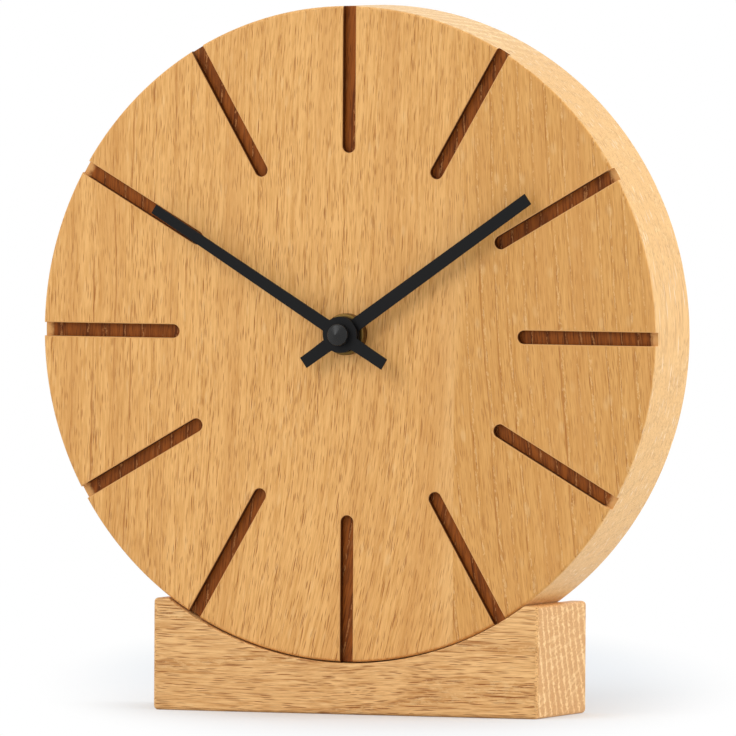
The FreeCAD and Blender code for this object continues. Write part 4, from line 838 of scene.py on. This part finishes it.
# painted shade: the brass tint is darkened far below the metal's own, as if the nut stood in shade
hub_brass = metal("hub brass", (0.15, 0.09, 0.025, 1.0), 0.42)
finish_node("threaded_bush", hub_brass)
nut = new_piece("hub_nut_brass", turned(dial_centre, NUT_STEPS, (
    (nut_high.y, nut_bore), (nut_high.y, nut_radius),
    *reversed(quarter_round(nut_low.y, nut_radius, nut_ease, front=True)),
    (nut_low.y, nut_bore + nut_chamfer), (nut_low.y + nut_chamfer, nut_bore)), ring=True), hub_brass)
shade(nut)
place_piece(nut, "clock_body", "hub_brass", "hub_nut")

# ---------------------------------------------------------------------------------------------------
# Hands: matt black strips pressed from sheet, with a round hub. Their edges are slightly rolled over
# by the punch, and they are pressed on the hour tube and on the minute arbor.
# ---------------------------------------------------------------------------------------------------

hub_radius = 4.7 * MM
hand_ease = 0.12 * MM
HUB_STEPS = 28
BORE_STEPS = 48
hand_black = satin("hand black", (0.004, 0.004, 0.0045, 1.0), 0.55, shine=0.16)


def hand_piece(name, length, tail, tail_width, tip_width, angle, bore):
    """A hand of sheet at its rest angle, clockwise from twelve."""
    low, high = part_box(name)
    slope = (tip_width - tail_width) / 2 / (length + tail)

    def half_width(along):
        return tail_width / 2 + slope * (along + tail)

    ahead = math.sqrt(hub_radius ** 2 - half_width(hub_radius) ** 2)
    behind = -math.sqrt(hub_radius ** 2 - half_width(-hub_radius) ** 2)
    first = math.atan2(half_width(behind), behind)
    last = math.atan2(half_width(ahead), ahead)
    side = [(-tail, half_width(-tail))]
    for step in range(HUB_STEPS + 1):
        hub_turn = first + (last - first) * step / HUB_STEPS
        side.append((hub_radius * math.cos(hub_turn), hub_radius * math.sin(hub_turn)))
    side.append((length, half_width(length)))
    points = side + [(along, -across) for along, across in reversed(side)]
    turn = math.radians(angle)
    work = lofted([[about_hub(turn, across, along, depth) for along, across in points]
                   for depth in (low.y, high.y)])
    half_thickness = (high.y - low.y) / 2
    flat_edges = [edge for edge in work.edges
                  if abs(edge.verts[0].co.y - edge.verts[1].co.y) < half_thickness]
    bmesh.ops.bevel(work, geom=flat_edges, offset=hand_ease, segments=3, profile=0.5, affect="EDGES")
    hand = new_piece(name + "_black", work, hand_black)
    hole = turned(dial_centre, BORE_STEPS, ((low.y - clear_of / 2, bore), (high.y + clear_of / 2, bore)))
    carve(hand, new_piece("bore cutter", hole, hand_black))
    shade(hand)
    return hand


minute_hand = hand_piece("minute_hand", length=61.0 * MM, tail=14.4 * MM, tail_width=3.1 * MM,
                         tip_width=2.6 * MM, angle=301.5, bore=1.77 * MM)
place_piece(minute_hand, "minute_hand_body", "hand_black", "minute_hand")
hour_hand = hand_piece("hour_hand", length=62.4 * MM, tail=13.1 * MM, tail_width=3.2 * MM,
                       tip_width=3.2 * MM, angle=55.0, bore=2.52 * MM)
place_piece(hour_hand, "hour_hand_body", "hand_black", "hour_hand")

# ---------------------------------------------------------------------------------------------------
# Hand cap: a small round satin black cap with a flat cone, turned to a dull point. It is pushed on the
# end of the minute arbor and covers the hole in the minute hand.
# ---------------------------------------------------------------------------------------------------

cap_low, cap_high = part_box("hand_cap")
cap_radius = (cap_high.x - cap_low.x) / 2
cap_cone = 1.3 * MM
cone_base = cap_low.y + cap_cone
cap_point = 0.05 * MM
dull_radius = 0.22 * MM
dull_depth = 0.03 * MM
cap_ease = 0.1 * MM
# the soft edge of the cone: how far each point lies behind the cone's base and inside the cap's radius
cone_edge = ((-0.16, 0.36), (-0.06, 0.16), (0.05, 0.04), (0.2, 0.0))

cap_black = satin("cap black", (0.008, 0.008, 0.008, 1.0), 0.28, shine=0.3)
cap = new_piece("hand_cap_black", turned(dial_centre, SMALL_STEPS, (
    (cap_low.y, cap_point), (cap_low.y + dull_depth, dull_radius),
    *((cone_base + behind * MM, cap_radius - inside * MM) for behind, inside in cone_edge),
    (cap_high.y - cap_ease, cap_radius), (cap_high.y, cap_radius - cap_ease))), cap_black)
shade(cap, crisp=40.0)
place_piece(cap, "minute_hand_body", "cap_black", "hand_cap")

# ---------------------------------------------------------------------------------------------------
# Stage: a floor of pale paper that fades to white round the clock, in a plain white surround with
# three soft lamps. The camera stands far off, in front and to the right, with a long lens.
# ---------------------------------------------------------------------------------------------------

FLOOR_HALF = 3.0
WHITE = (1, 1, 1, 1)
camera_place = Vector((1.6833, -4.3492, 0.2502))
view_turn = math.atan2(camera_place.x, -camera_place.y)
# the floor shows within an oval, whose middle lies to the right and behind as the camera sees it
oval_aside = 0.006
oval_behind = 0.15
oval_half_width = 0.098
oval_half_depth = 0.36
oval_fades_from = 0.52


def seen_by_camera(tree):
    """One for rays from the camera, also where it looks at a mirror or through glass."""
    path = node(tree, "LightPath").outputs
    seen = sums(tree, "ADD", path["Is Camera Ray"], path["Is Glossy Ray"])
    return sums(tree, "ADD", seen, path["Is Transmission Ray"], clamp=True)


floor_mesh = bpy.data.meshes.new("floor")
floor_mesh.from_pydata([(-FLOOR_HALF, -FLOOR_HALF, 0), (FLOOR_HALF, -FLOOR_HALF, 0),
                        (FLOOR_HALF, FLOOR_HALF, 0), (-FLOOR_HALF, FLOOR_HALF, 0)], [], [(0, 1, 2, 3)])
floor = bpy.data.objects.new("floor", floor_mesh)
bpy.context.scene.collection.objects.link(floor)
paper, tree, surface = new_material("pale floor", (0.78, 0.805, 0.832, 1.0), 0.9, shine=0.0)
spot = node(tree, "TexCoord").outputs["Object"]
beside = measures(tree, "DOT_PRODUCT", spot, (math.cos(view_turn), math.sin(view_turn), 0))
behind = measures(tree, "DOT_PRODUCT", spot, (-math.sin(view_turn), math.cos(view_turn), 0))
beside = sums(tree, "DIVIDE", sums(tree, "SUBTRACT", beside, oval_aside), oval_half_width)
behind = sums(tree, "DIVIDE", sums(tree, "SUBTRACT", behind, oval_behind), oval_half_depth)
off_middle = measures(tree, "LENGTH", from_parts(tree, beside, behind))
far = product(tree, fades(tree, off_middle, oval_fades_from, 1.0), seen_by_camera(tree))
white = node(tree, "Emission", {"Color": WHITE, "Strength": 1.0}).outputs[0]
faded = node(tree, "MixShader", {0: far, 1: tree.nodes["Principled BSDF"].outputs[0], 2: white})
tree.links.new(faded.outputs[0], tree.nodes["Material Output"].inputs["Surface"])
floor_mesh.materials.append(paper)

world = bpy.data.worlds.new("studio")
bpy.context.scene.world = world
world.use_nodes = True
tree = world.node_tree
tree.nodes.clear()
dome = node(tree, "Background", {"Color": WHITE, "Strength": 0.62}).outputs[0]
white = node(tree, "Background", {"Color": WHITE, "Strength": 1.0}).outputs[0]
both = node(tree, "MixShader", {0: seen_by_camera(tree), 1: dome, 2: white}).outputs[0]
tree.links.new(both, node(tree, "OutputWorld").inputs["Surface"])

lamp_aim = Vector((0, 0, 0.09))


def lamp(name, place, width, height, watts):
    """A soft rectangular lamp aimed at the middle of the clock."""
    light = bpy.data.lights.new(name, "AREA")
    light.shape = "RECTANGLE"
    light.size = width
    light.size_y = height
    light.energy = watts
    made = bpy.data.objects.new(name, light)
    made.location = place
    made.rotation_euler = (lamp_aim - Vector(place)).to_track_quat("-Z", "Y").to_euler()
    bpy.context.scene.collection.objects.link(made)


lamp("front", (-0.7, -1.2, 0.9), width=1.0, height=1.0, watts=9)
lamp("right", (1.2, 0.25, 0.5), width=0.7, height=0.9, watts=9)
lamp("top", (0.1, 0.1, 1.4), width=1.2, height=1.2, watts=5)

PICTURE = 736
focal_pixels = 17955.0
look_at = Vector((-0.0009, 0.0, 0.0893))
roll = math.radians(0.3)
camera_data = bpy.data.cameras.new("camera")
camera = bpy.data.objects.new("camera", camera_data)
bpy.context.scene.collection.objects.link(camera)
bpy.context.scene.camera = camera
camera_data.sensor_width = 36.0
camera_data.lens = focal_pixels * camera_data.sensor_width / PICTURE
camera_data.clip_end = 20.0
camera_data.dof.use_dof = False
ahead = (look_at - camera_place).to_track_quat("-Z", "Y").to_matrix().to_4x4()
camera.matrix_world = Matrix.Translation(camera_place) @ (ahead @ Matrix.Rotation(roll, 4, "Z"))

bpy.context.scene.view_settings.view_transform = "Standard"
